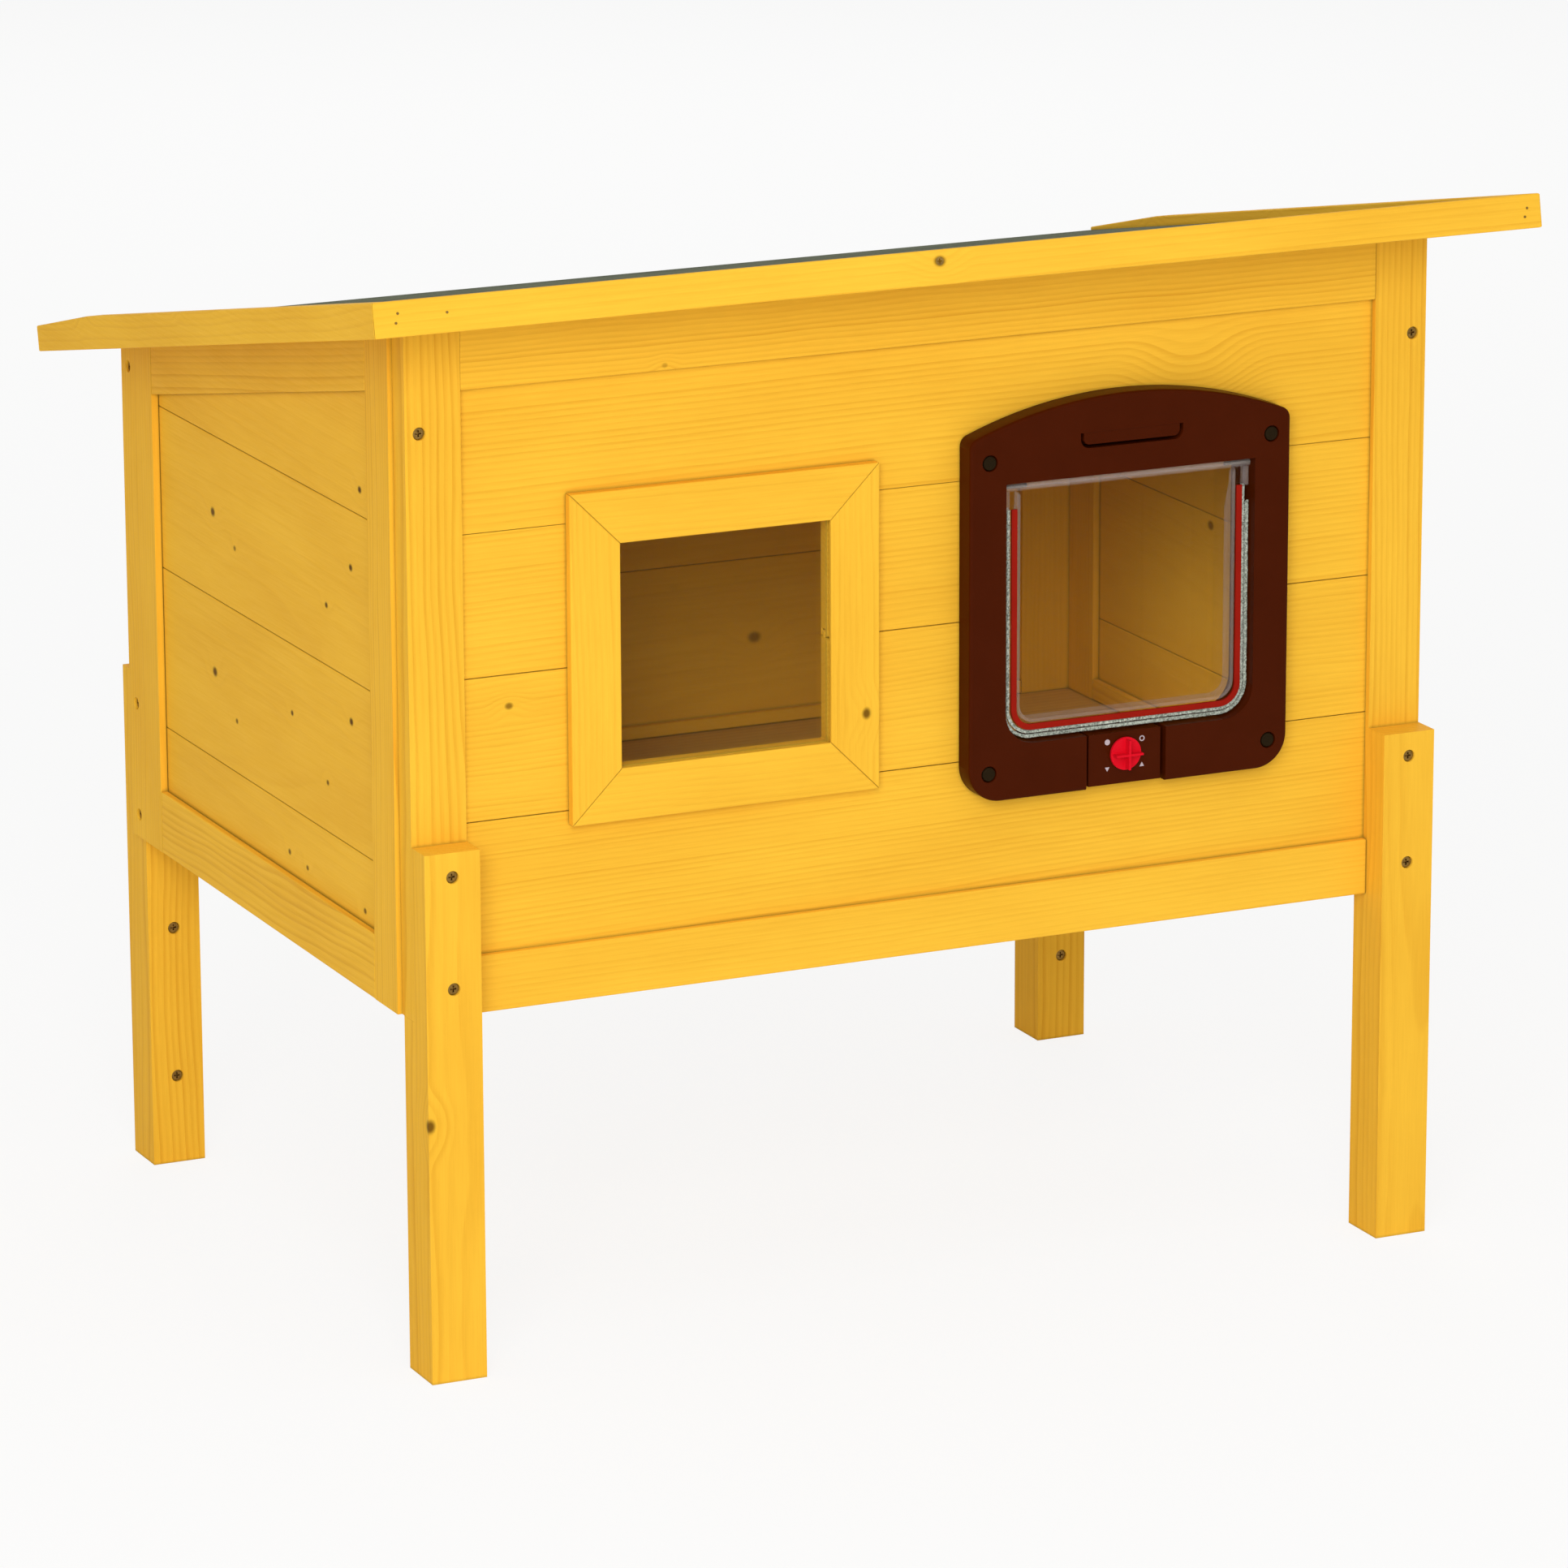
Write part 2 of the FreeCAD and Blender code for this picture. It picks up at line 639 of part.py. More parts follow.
# Side walls: front stile, wider back stile, sloping top rail, bottom rail and four trimmed boards
side_start = "front_face + frame_thickness"
bay_start = f"{side_start} + stile_face"
bay_end = "back_face - back_stile_face"
bay_run = (bay_start, f"{bay_end} - ({bay_start})")
side_boards_run = (f"{bay_start} - groove_depth", f"{bay_run[1]} + 2 * groove_depth")
side_boards_foot = "panel_base + side_bottom_rail - groove_depth"
side_seams = [f"panel_base + side_bottom_rail + side_low_board + {count} * side_board_face"
              for count in range(3)]
slot_trim = lid_space("side_slot_trim", "groove_depth + slot_clearance - lid_gap - side_top_rail")
board_trim = lid_space("side_board_trim", "groove_depth - lid_gap - side_top_rail")
for side, sign in (("left", -1), ("right", 1)):
    thick = mirrored(sign, "side_in", "side_out")
    board_thick = mirrored(sign, "side_out - board_recess - board_thickness", "side_out - board_recess")
    slot_blank = timber(f"{side}_slot_blank", "y", wider(*side_boards_run), wider(*board_thick),
                        (f"{side_boards_foot} - slot_clearance", f"eaves - ({side_boards_foot})"))
    slot = cut(f"{side}_slot", slot_blank, slot_trim)
    blank = timber(f"{side}_front_stile_blank", "y", (side_start, "stile_face"), thick,
                   ("panel_base", "front_height"))
    piece(f"{side}_front_stile", cut(f"{side}_front_stile", blank, roof_space, slot, floor_slot,
                                     front_corner_holes[side]))
    blank = timber(f"{side}_back_stile_blank", "y", (bay_end, "back_stile_face"), thick,
                   ("panel_base", "front_height"))
    piece(f"{side}_back_stile", cut(f"{side}_back_stile", blank, roof_space, slot, floor_slot,
                                    *side_corner_holes[side]))
    sloping = lid_block(f"{side}_sloping_bar", (thick[1], "lid_length", "side_top_rail"),
                        (thick[0], "-front_overhang", "-lid_gap - side_top_rail"))
    bay = timber(f"{side}_bay", "y", bay_run, thick, ("panel_base", "front_height"))
    rail = doc.addObject("Part::Common", f"{side}_top_rail_common")
    rail.Base = sloping
    rail.Tool = bay
    piece(f"{side}_top_rail", cut(f"{side}_top_rail", rail, slot))
    blank = timber(f"{side}_bottom_rail_blank", "y", bay_run, thick, ("panel_base", "side_bottom_rail"))
    piece(f"{side}_bottom_rail", cut(f"{side}_bottom_rail", blank, slot, floor_slot))
    row = board_row(f"{side}_board", "y", side_boards_run, board_thick,
                    [side_boards_foot, *side_seams, "eaves"])
    piece(f"{side}_boards", group(f"{side}_board_group",
                                  [cut(f"{side}_board_{number}_trimmed", board, board_trim,
                                       front_corner_holes[side])
                                   for number, board in enumerate(row, start=1)]))

# Back wall, between the side walls: two stiles, two rails and three boards
back_thick = ("back_face - frame_thickness", "frame_thickness")
back_half = "side_in - stile_face"
back_run = (f"-({back_half} + groove_depth)", f"2 * ({back_half} + groove_depth)")
back_board_start = "back_face - board_recess - board_thickness"
back_boards_top = "back_eaves - back_top_rail + groove_depth"
back_slot = timber("back_slot", "x", wider(*back_run), wider(back_board_start, "board_thickness"),
                   wider(front_boards_foot, f"{back_boards_top} - ({front_boards_foot})"))
for side, sign in (("left", -1), ("right", 1)):
    blank = timber(f"back_stile_{side}_blank", "x", mirrored(sign, back_half, "side_in"), back_thick,
                   ("panel_base", "front_height"))
    piece(f"back_stile_{side}", cut(f"back_stile_{side}", blank, roof_space, back_slot, floor_slot,
                                    *side_corner_holes[side], *leg_holes[f"back_{side}"]))
rail_run = (f"-({back_half})", f"2 * ({back_half})")
back_rail_rise = "back_top_rail + frame_thickness * tan(roof_pitch)"
blank = timber("back_bottom_rail_blank", "x", rail_run, back_thick, ("panel_base", "front_bottom_rail"))
piece("back_bottom_rail", cut("back_bottom_rail", blank, back_slot, floor_slot))
back_seams = [f"panel_base + front_bottom_rail + {count} * side_board_face" for count in (1, 2)]
back_row = board_row("back_board", "x", back_run, (back_board_start, "board_thickness"),
                     [front_boards_foot, *back_seams, back_boards_top])
back_corner_holes = [*side_corner_holes["left"], *side_corner_holes["right"]]
piece("back_boards", group("back_board_group",
                           [cut(f"back_board_{number}_bored", board, *back_corner_holes)
                            for number, board in enumerate(back_row, start=1)]))

# Legs: an outer board lapped on the wall, and a block beside it that the wall stands on
for side, sign in (("left", -1), ("right", 1)):
    run = mirrored(sign, "half_width - leg_width", "half_width")
    for end in ("front", "back"):
        key = f"{end}_{side}"
        if end == "front":
            board_thick = ("front_face - leg_board_thickness", "leg_board_thickness")
            block_thick = ("front_face", "leg_block_thickness")
        else:
            board_thick = ("back_face", "leg_board_thickness")
            block_thick = ("back_face - leg_block_thickness", "leg_block_thickness")
        blank = timber(f"leg_board_{key}_blank", "x", run, board_thick, ("0", "leg_block_height + leg_lap"))
        piece(f"leg_board_{key}", cut(f"leg_board_{key}", blank, *leg_holes[key], *block_holes[key]))
        blank = timber(f"leg_block_{key}_blank", "x", run, block_thick, ("0", "leg_block_height"))
        piece(f"leg_block_{key}", cut(f"leg_block_{key}", blank, *block_holes[key]))

# Roof: a flat deck under felt, with mitred fascias round the front and the sides
deck_half = "lid_half - fascia_thickness"
deck_start = "fascia_thickness - front_overhang"
deck_run = "lid_length - fascia_thickness"
piece("roof_felt", lid_block("roof_felt_sheet", (f"2 * ({deck_half})", deck_run, "felt_thickness"),
                             (f"-({deck_half})", deck_start, "deck_thickness")))
front_fascia = doc.addObject("Part::Wedge", "front_fascia_bar")
for side, text in {"Xmin": "0", "Xmax": "2 * lid_half", "X2min": "fascia_thickness",
                   "X2max": "2 * lid_half - fascia_thickness", "Ymin": "0", "Ymax": "fascia_thickness",
                   "Zmin": "0", "Zmax": "fascia_height", "Z2min": "0", "Z2max": "fascia_height"}.items():
    bind(front_fascia, side, text)
set_down(front_fascia, *on_lid("-lid_half", "-front_overhang", "fascia_foot"))
tilt(front_fascia)
piece("front_fascia", front_fascia)
taper_cut = block("fascia_taper_cut", ("2 * lid_half", "lid_length", "fascia_height"),
                  on_lid("-lid_half", "lid_end - fascia_taper_length", "fascia_top"))
tilt(taper_cut, "roof_pitch + taper_angle")
for side, sign in (("left", -1), ("right", 1)):
    start, width = mirrored(sign, deck_half, "lid_half")
    bar = lid_block(f"{side}_fascia_bar", (width, "lid_length", "fascia_height"),
                    (start, "-front_overhang", "fascia_foot"))
    piece(f"{side}_fascia", cut(f"{side}_fascia", bar, front_fascia, taper_cut))


# Roof hinges: a wall leaf with two knuckles, a roof leaf with the middle one, and a pin
def lid_rod(name, radius, length, x, v, n):
    cylinder = doc.addObject("Part::Cylinder", name)
    bind(cylinder, "Radius", radius)
    bind(cylinder, "Height", length)
    tilt(cylinder)
    set_down(cylinder, *on_lid(x, v, n))
    return cylinder


wall_leaves, roof_leaves, hinge_pins, wall_leaf_screws, roof_leaf_screws = [], [], [], [], []
rail_holes, deck_holes = [], []
screw_body = "hinge_screw_head_height + hinge_screw_length"
for side, sign in (("left", -1), ("right", 1)):
    name = f"hinge_{side}"
    left_end = f"{sign} * hinge_x - hinge_length / 2"
    axis_start = (left_end, "hinge_y", "hinge_z")
    bore = rod(f"{name}_bore", "hinge_pin_radius + hinge_pin_fit", "hinge_length", axis_start, "+x")
    hinge_pins.append(rod(f"{name}_pin", "hinge_pin_radius", "hinge_length", axis_start, "+x"))
    middle_start = "hinge_knuckle - hinge_gap"
    middle_run = "hinge_knuckle + 2 * hinge_gap"
    reach = "hinge_radius + hinge_gap"
    leaf = block(f"{name}_wall_plate", ("hinge_length", "hinge_leaf_thickness", "hinge_leaf_width"),
                 (left_end, "back_face", "hinge_z - hinge_leaf_width"))
    notch = block(f"{name}_wall_notch", (middle_run, "hinge_leaf_thickness", reach),
                  (f"{left_end} + {middle_start}", "back_face", f"hinge_z - ({reach})"))
    outer_run = "hinge_knuckle - hinge_gap"
    knuckles = [rod(f"{name}_wall_knuckle_{number}", "hinge_radius", outer_run, axis_start, "+x", skip)
                for number, skip in enumerate(("0", "hinge_length - hinge_knuckle + hinge_gap"), start=1)]
    wall_leaf = fuse(f"{name}_wall_leaf_whole", cut(f"{name}_wall_plate", leaf, notch), *knuckles)
    plate = lid_block(f"{name}_roof_plate", ("hinge_length", "hinge_leaf_width", "hinge_leaf_thickness"),
                      (left_end, "hinge_v", "-hinge_leaf_thickness"))
    side_notches = [lid_block(f"{name}_roof_notch_{number}", ("hinge_knuckle", reach, "hinge_leaf_thickness"),
                              (f"{left_end} + {skip}", "hinge_v", "-hinge_leaf_thickness"))
                    for number, skip in enumerate(("0", "hinge_length - hinge_knuckle"), start=1)]
    knuckle = rod(f"{name}_roof_knuckle", "hinge_radius", "hinge_knuckle", axis_start, "+x", "hinge_knuckle")
    roof_leaf = fuse(f"{name}_roof_leaf_whole", cut(f"{name}_roof_plate", plate, *side_notches), knuckle)
    leaf_holes, plate_holes = [], []
    for number, offset in enumerate((-1, 1), start=1):
        x = f"{sign} * hinge_x + {offset} * hinge_screw_spread"
        spot = (x, "back_face + hinge_leaf_thickness", "hinge_z - hinge_screw_reach")
        head = rod(f"{name}_wall_head_{number}", "hinge_screw_head_radius", "hinge_screw_head_height",
                   spot, "-y")
        shank = rod(f"{name}_wall_shank_{number}", "hinge_screw_radius", screw_body, spot, "-y")
        wall_leaf_screws.append(fuse(f"{name}_wall_screw_{number}", head, shank))
        mouth = rod(f"{name}_wall_mouth_{number}", "hinge_screw_head_radius + screw_clearance",
                    "hinge_screw_head_height", spot, "-y")
        way = rod(f"{name}_wall_way_{number}", "hinge_screw_radius + screw_clearance",
                  f"{screw_body} + screw_clearance", spot, "-y")
        leaf_holes += [mouth, way]
        rail_holes.append(way)
        spot = (x, "hinge_v + hinge_screw_reach", "-hinge_leaf_thickness")
        head = lid_rod(f"{name}_roof_head_{number}", "hinge_screw_head_radius", "hinge_screw_head_height",
                       *spot)
        shank = lid_rod(f"{name}_roof_shank_{number}", "hinge_screw_radius", screw_body, *spot)
        roof_leaf_screws.append(fuse(f"{name}_roof_screw_{number}", head, shank))
        mouth = lid_rod(f"{name}_roof_mouth_{number}", "hinge_screw_head_radius + screw_clearance",
                        "hinge_screw_head_height", *spot)
        way = lid_rod(f"{name}_roof_way_{number}", "hinge_screw_radius + screw_clearance",
                      f"{screw_body} + screw_clearance", *spot)
        plate_holes += [mouth, way]
        deck_holes.append(way)
    wall_leaves.append(cut(f"{name}_wall_leaf", wall_leaf, bore, *leaf_holes))
    roof_leaves.append(cut(f"{name}_roof_leaf", roof_leaf, bore, *plate_holes))
piece("hinge_wall_leaves", group("hinge_wall_leaf_group", wall_leaves))
piece("hinge_roof_leaves", group("hinge_roof_leaf_group", roof_leaves))
piece("hinge_pins", group("hinge_pin_group", hinge_pins))
piece("hinge_wall_screws", group("hinge_wall_screw_group", wall_leaf_screws))
piece("hinge_roof_screws", group("hinge_roof_screw_group", roof_leaf_screws))
blank = timber("back_top_rail_blank", "x", rail_run, back_thick,
               ("back_eaves - back_top_rail", back_rail_rise))
piece("back_top_rail", cut("back_top_rail", blank, roof_space, back_slot, *rail_holes))
deck = lid_block("roof_deck_sheet", (f"2 * ({deck_half})", deck_run, "deck_thickness"),
                 (f"-({deck_half})", deck_start, "0"))
piece("roof_deck", cut("roof_deck", deck, *deck_holes))

# Window: four mitred trims, rebated at the back for a clear pane that they hold against the boards
pane_corner = ("window_x - pane_size / 2", "board_face - pane_thickness", "window_z - pane_size / 2")
piece("window_pane", block("window_pane_sheet", ("pane_size", "pane_thickness", "pane_size"), pane_corner))
pane_slot = block("pane_slot",
                  ("pane_size + 2 * slot_clearance", "pane_thickness + slot_clearance",
                   "pane_size + 2 * slot_clearance"),
                  [f"{text} - slot_clearance" for text in pane_corner])
trim_corners = {"bottom": (-1, -1), "right": (1, -1), "top": (1, 1), "left": (-1, 1)}
for quarter, (side, (across, up)) in enumerate(trim_corners.items()):
    trim = doc.addObject("Part::Wedge", f"window_trim_{side}_bar")
    for edge, text in {"Xmin": "0", "Xmax": "window_size", "X2min": "window_trim_width",
                       "X2max": "window_size - window_trim_width", "Ymin": "0", "Ymax": "window_trim_width",
                       "Zmin": "0", "Zmax": "window_trim_thickness", "Z2min": "0",
                       "Z2max": "window_trim_thickness"}.items():
        bind(trim, edge, text)
    turn = FreeCAD.Rotation(Vector(0, 1, 0), -90 * quarter)
    trim.Placement = FreeCAD.Placement(Vector(), turn.multiply(FreeCAD.Rotation(Vector(1, 0, 0), 90)))
    set_down(trim, f"window_x + {across} * window_size / 2", "board_face",
             f"window_z + {up} * window_size / 2")
    piece(f"window_trim_{side}", cut(f"window_trim_{side}", trim, pane_slot))

# Cat flap outer frame: an arched moulding, hollow at the back, open for the flap and for the lock
frame = upright_body("flap_outer_frame_body")
arch_points = [("flap_foot_radius - flap_frame_width / 2", "0"),
               ("flap_frame_width / 2 - flap_foot_radius", "0"),
               ("flap_frame_width / 2", "flap_foot_radius"), ("flap_frame_width / 2", "shoulder"),
               ("-flap_frame_width / 2", "shoulder"), ("-flap_frame_width / 2", "flap_foot_radius")]
arch = outline(frame, "frame_outline", arch_points,
               {1: "flap_foot_radius", 3: "flap_arch_radius", 5: "flap_foot_radius"})
frame_pad = pad(frame, arch, "flap_frame_depth")
half_depth = value("flap_frame_depth") / 2
shoulder_height = value("shoulder")
shoulders = round_edges(frame, frame_pad, "frame_shoulders", "flap_shoulder_radius",
                        lambda spot: abs(spot.y + half_depth) < near and abs(spot.z - shoulder_height) < near)
round_edges(frame, shoulders, "frame_front_edge", "flap_edge_radius",
            lambda spot: abs(spot.y + 2 * half_depth) < near)
pocket(frame, u_outline(frame, "frame_opening", "opening_half", "flap_sill", "opening_top",
                        "flap_opening_radius"), "flap_frame_depth", forward=True)
lock_reach = "lock_width / 2 + lock_gap"
pocket(frame, rectangle(frame, "lock_slot", f"-lock_shift - ({lock_reach})", f"{lock_reach} - lock_shift",
                        "-lock_gap", "flap_sill + lock_gap"), "flap_frame_depth", forward=True)
# Finger grip: a tongue in the frame's face, left by a deep slot round its sides and foot
grip_top = "grip_foot + grip_height"
hollow = "flap_frame_depth - flap_wall"
pocket(frame, u_outline(frame, "grip_slot", "grip_width / 2", "grip_foot", grip_top, "grip_radius",
                        "flap_frame_depth"), hollow)
pad(frame, u_outline(frame, "grip_tongue", "grip_width / 2 - grip_gap", "grip_foot + grip_gap", grip_top,
                     "grip_radius - grip_gap", "flap_wall"), f"{hollow} - grip_set")
for name, sign in (("left", -1), ("right", 1)):
    near_edge, far_edge = "opening_half + flap_wall", "flap_frame_width / 2 - flap_wall"
    edges = (near_edge, far_edge) if sign > 0 else (f"-({far_edge})", f"-({near_edge})")
    pocket(frame, rectangle(frame, f"{name}_hollow", *edges, "cap_foot_inset + cap_boss_radius",
                            "cap_top_z - cap_boss_radius"), hollow, forward=True)
    near_edge, far_edge = "grip_width / 2 + flap_wall", "cap_x - cap_boss_radius"
    edges = (near_edge, far_edge) if sign > 0 else (f"-({far_edge})", f"-({near_edge})")
    pocket(frame, rectangle(frame, f"top_{name}_hollow", *edges, "opening_top + flap_wall", "shoulder"),
           hollow, forward=True)
pocket(frame, round_mark(frame, "cap_seats", cap_spots, "cap_radius + cap_fit", "flap_frame_depth"),
       "cap_seat_depth")
pocket(frame, round_mark(frame, "frame_screw_ways", cap_spots, "flap_screw_radius + screw_clearance"),
       "flap_frame_depth", forward=True)
pivot_reach = "2 * (opening_half + flap_wall)"
pocket(frame, round_mark(frame, "pivot_seats", [("flap_plane", "pivot_z")], "pivot_radius + pivot_fit",
                         role="YZ_Plane"), pivot_reach, both_ways=True)
piece("flap_outer_frame", frame)

# Cat flap inner frame: a plate inside the wall with a collar through the boards
inner = upright_body("flap_inner_frame_body")
plate_outline = u_outline(inner, "plate_outline", "flap_frame_width / 2 - inner_frame_inset",
                          "inner_frame_inset", "cap_top_z + inner_frame_radius", "inner_frame_radius",
                          "-board_thickness")
pad(inner, plate_outline, "inner_frame_thickness", backward=True)
collar_outline = u_outline(inner, "collar_outline", "opening_half + flap_wall", "flap_sill - flap_wall",
                           "opening_top + flap_wall", "flap_opening_radius + flap_wall")
pad(inner, collar_outline, "board_thickness + inner_frame_thickness", backward=True)
pocket(inner, u_outline(inner, "collar_opening", "opening_half", "flap_sill", "opening_top",
                        "flap_opening_radius"), "board_thickness + inner_frame_thickness")
pocket(inner, round_mark(inner, "plate_screw_ways", cap_spots, "flap_screw_radius + screw_clearance",
                         "-board_thickness"), "inner_frame_thickness")
piece("flap_inner_frame", inner)

# Cat flap screws, and the caps that hide them
caps, flap_screws = [], []
for number, (x, z) in enumerate(cap_spots, start=1):
    spot = (f"flap_x + {x}", "flap_front", f"flap_z + {z}")
    caps.append(rod(f"flap_cap_{number}", "cap_radius", "cap_thickness", spot, "+y"))
    head = rod(f"flap_screw_head_{number}", "flap_screw_head_radius", "flap_screw_head_height", spot, "+y",
               "cap_seat_depth - flap_screw_head_height")
    shank = rod(f"flap_screw_shank_{number}", "flap_screw_radius", "flap_screw_length", spot, "+y",
                "cap_seat_depth")
    flap_screws.append(fuse(f"flap_screw_{number}", head, shank))
piece("flap_screw_caps", group("flap_cap_group", caps))
piece("flap_screws", group("flap_screw_group", flap_screws))

# Swinging flap: a clear sheet under a round barrel, bored from end to end for its pins
flap = upright_body("flap_panel_body")
sheet_outline = u_outline(flap, "flap_outline", "panel_half", "panel_foot", "pivot_z", "panel_round",
                          "-flap_plane - flap_thickness / 2")
pad(flap, sheet_outline, "flap_thickness")
barrel = round_mark(flap, "barrel_outline", [("flap_plane", "pivot_z")], "barrel_radius", role="YZ_Plane")
pad(flap, barrel, "2 * brush_half", both_ways=True)
pocket(flap, round_mark(flap, "barrel_bore", [("flap_plane", "pivot_z")], "pivot_radius + pivot_fit",
                        role="YZ_Plane"), "2 * brush_half", both_ways=True)
piece("flap_panel", flap)
pivot_start = ("board_face + flap_plane", "flap_z + pivot_z")
pins = [rod(f"flap_pivot_{number}", "pivot_radius", "pivot_length",
            (f"flap_x {way[0]} (opening_half + flap_wall)", *pivot_start), f"{inward}x")
        for number, (way, inward) in enumerate((("-x", "+"), ("+x", "-")), start=1)]
piece("flap_pivot_pins", group("flap_pivot_group", pins))


def edge_strip(label, half, foot, radius, width, depth, forward):
    """A strip of one width that runs down, along the foot and up the flap's other edge."""
    body = upright_body(f"{label}_body")
    top = "opening_top - brush_drop"
    pad(body, u_outline(body, f"{label}_outer", half, foot, top, radius, forward), depth)
    inside = u_outline(body, f"{label}_inner", f"{half} - {width}", f"{foot} + {width}", f"{top} + {width}",
                       f"{radius} - {width}", forward)
    pocket(body, inside, depth, forward=True)
    piece(label, body)


edge_strip("flap_brush", "brush_half", "brush_foot", "brush_round", "brush_width", "brush_depth",
           "-flap_plane - brush_depth / 2")
edge_strip("flap_seal", "panel_half - seal_inset", "panel_foot + seal_inset", "panel_round - seal_inset",
           "seal_width", "seal_thickness", "-flap_plane + flap_thickness / 2")

# Flap lock: a housing in the frame's foot, a knob on a shaft, and two pawls that rise beside the flap
lock_depth = "board_face - lock_front"
housing = block("lock_housing_blank", ("lock_width", lock_depth, "lock_top - lock_foot"),
                ("lock_x - lock_width / 2", "lock_front", "flap_z + lock_foot"))
knob_start = ("lock_x", "lock_front", "flap_z + knob_rise")
shaft_bore = rod("knob_shaft_bore", "knob_shaft_radius + knob_shaft_fit", "knob_shaft_length + knob_gap",
                 knob_start, "+y")
shaft = rod("knob_shaft", "knob_shaft_radius", "knob_shaft_length + knob_gap", knob_start, "+y", "-knob_gap")
disc = rod("knob_disc", "knob_radius", "knob_thickness", knob_start, "-y", "knob_gap")
fin_front = "lock_front - knob_gap - knob_thickness - knob_fin_height"
fin_sizes = [("knob_fin_width", "2 * (knob_radius - knob_fin_margin)")]
fin_sizes += [fin_sizes[0][::-1]]
fins = [block(f"knob_fin_{number}", (width, "knob_fin_height", height),
              (f"lock_x - ({width}) / 2", fin_front, f"flap_z + knob_rise - ({height}) / 2"))
        for number, (width, height) in enumerate(fin_sizes, start=1)]
piece("flap_lock_knob", fuse("flap_lock_knob_whole", disc, shaft, *fins))
pawl_slots = []
plane = "board_face + flap_plane"
for label, sign, start in (
        ("flap_lock_pawl_out", -1, f"{plane} - brush_depth / 2 - pawl_gap - pawl_thickness"),
        ("flap_lock_pawl_in", 1, f"{plane} + brush_depth / 2 + pawl_gap")):
    left = f"lock_x + {sign} * pawl_offset - pawl_width / 2"
    piece(label, block(f"{label}_bar", ("pawl_width", "pawl_thickness", "pawl_height"),
                       (left, start, "flap_z + pawl_foot")))
    pawl_slots.append(block(f"{label}_slot",
                            ("pawl_width + 2 * pawl_clearance", "pawl_thickness + 2 * pawl_clearance",
                             "lock_top - pawl_foot + pawl_clearance"),
                            (f"{left} - pawl_clearance", f"{start} - pawl_clearance",
                             "flap_z + pawl_foot - pawl_clearance")))
piece("flap_lock_housing", cut("flap_lock_housing", housing, shaft_bore, *pawl_slots))

# Check every object, then write each sub-part
doc.recompute()
failed = [item.Name for item in doc.Objects if {"Invalid", "Error"} & set(item.State)]
failed += [label for label, item in pieces.items() if item.Shape.isNull() or not item.Shape.isValid()]
if failed:
    raise RuntimeError("failed: " + ", ".join(failed))
os.makedirs("parts", exist_ok=True)
for label, item in pieces.items():
    item.Shape.exportStep(f"parts/{label}.step")
print(len(pieces), "sub-parts written")
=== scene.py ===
import math
import random

import bmesh
import bpy
from mathutils import Euler, Matrix, Vector


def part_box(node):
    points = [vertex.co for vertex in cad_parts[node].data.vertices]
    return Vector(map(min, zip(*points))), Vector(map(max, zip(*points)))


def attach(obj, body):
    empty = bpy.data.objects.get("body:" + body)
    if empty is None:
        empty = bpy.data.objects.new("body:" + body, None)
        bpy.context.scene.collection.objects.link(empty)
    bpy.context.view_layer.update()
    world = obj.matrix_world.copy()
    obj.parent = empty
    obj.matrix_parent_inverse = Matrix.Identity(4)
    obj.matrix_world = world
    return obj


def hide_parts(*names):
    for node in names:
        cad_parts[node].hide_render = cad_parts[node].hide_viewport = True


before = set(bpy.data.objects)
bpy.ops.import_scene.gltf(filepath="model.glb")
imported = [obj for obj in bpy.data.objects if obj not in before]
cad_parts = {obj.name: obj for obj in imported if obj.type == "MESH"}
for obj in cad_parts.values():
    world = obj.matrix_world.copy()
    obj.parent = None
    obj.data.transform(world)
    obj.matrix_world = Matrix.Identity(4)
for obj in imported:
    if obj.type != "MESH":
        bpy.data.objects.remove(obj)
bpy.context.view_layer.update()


# Front wall: two stiles and two rails round four tongue and groove boards.
# Planed spruce, grooved and glued together, then brushed with a yellow satin stain
# that keeps the growth rings in sight.
def linear(colour):
    """A hex sRGB colour as linear red, green, blue and alpha."""
    parts = [int(colour[start:start + 2], 16) / 255 for start in (1, 3, 5)]
    return [part / 12.92 if part <= 0.04045 else ((part + 0.055) / 1.055) ** 2.4 for part in parts] + [1.0]


def node(tree, kind, sockets=None, out=0, **settings):
    """Add a node, set its properties, fill or link its sockets, and give back one output."""
    added = tree.nodes.new(kind)
    for name, setting in settings.items():
        setattr(added, name, setting)
    for name, source in (sockets or {}).items():
        if isinstance(source, bpy.types.NodeSocket):
            tree.links.new(source, added.inputs[name])
        else:
            added.inputs[name].default_value = source
    return added.outputs[out]


def finish(name):
    """A new material with its shader: the node tree, the shader node and the place on the piece."""
    material = bpy.data.materials.new(name)
    material.use_nodes = True
    tree = material.node_tree
    return material, tree, tree.nodes["Principled BSDF"], node(tree, "ShaderNodeTexCoord", out="Object")


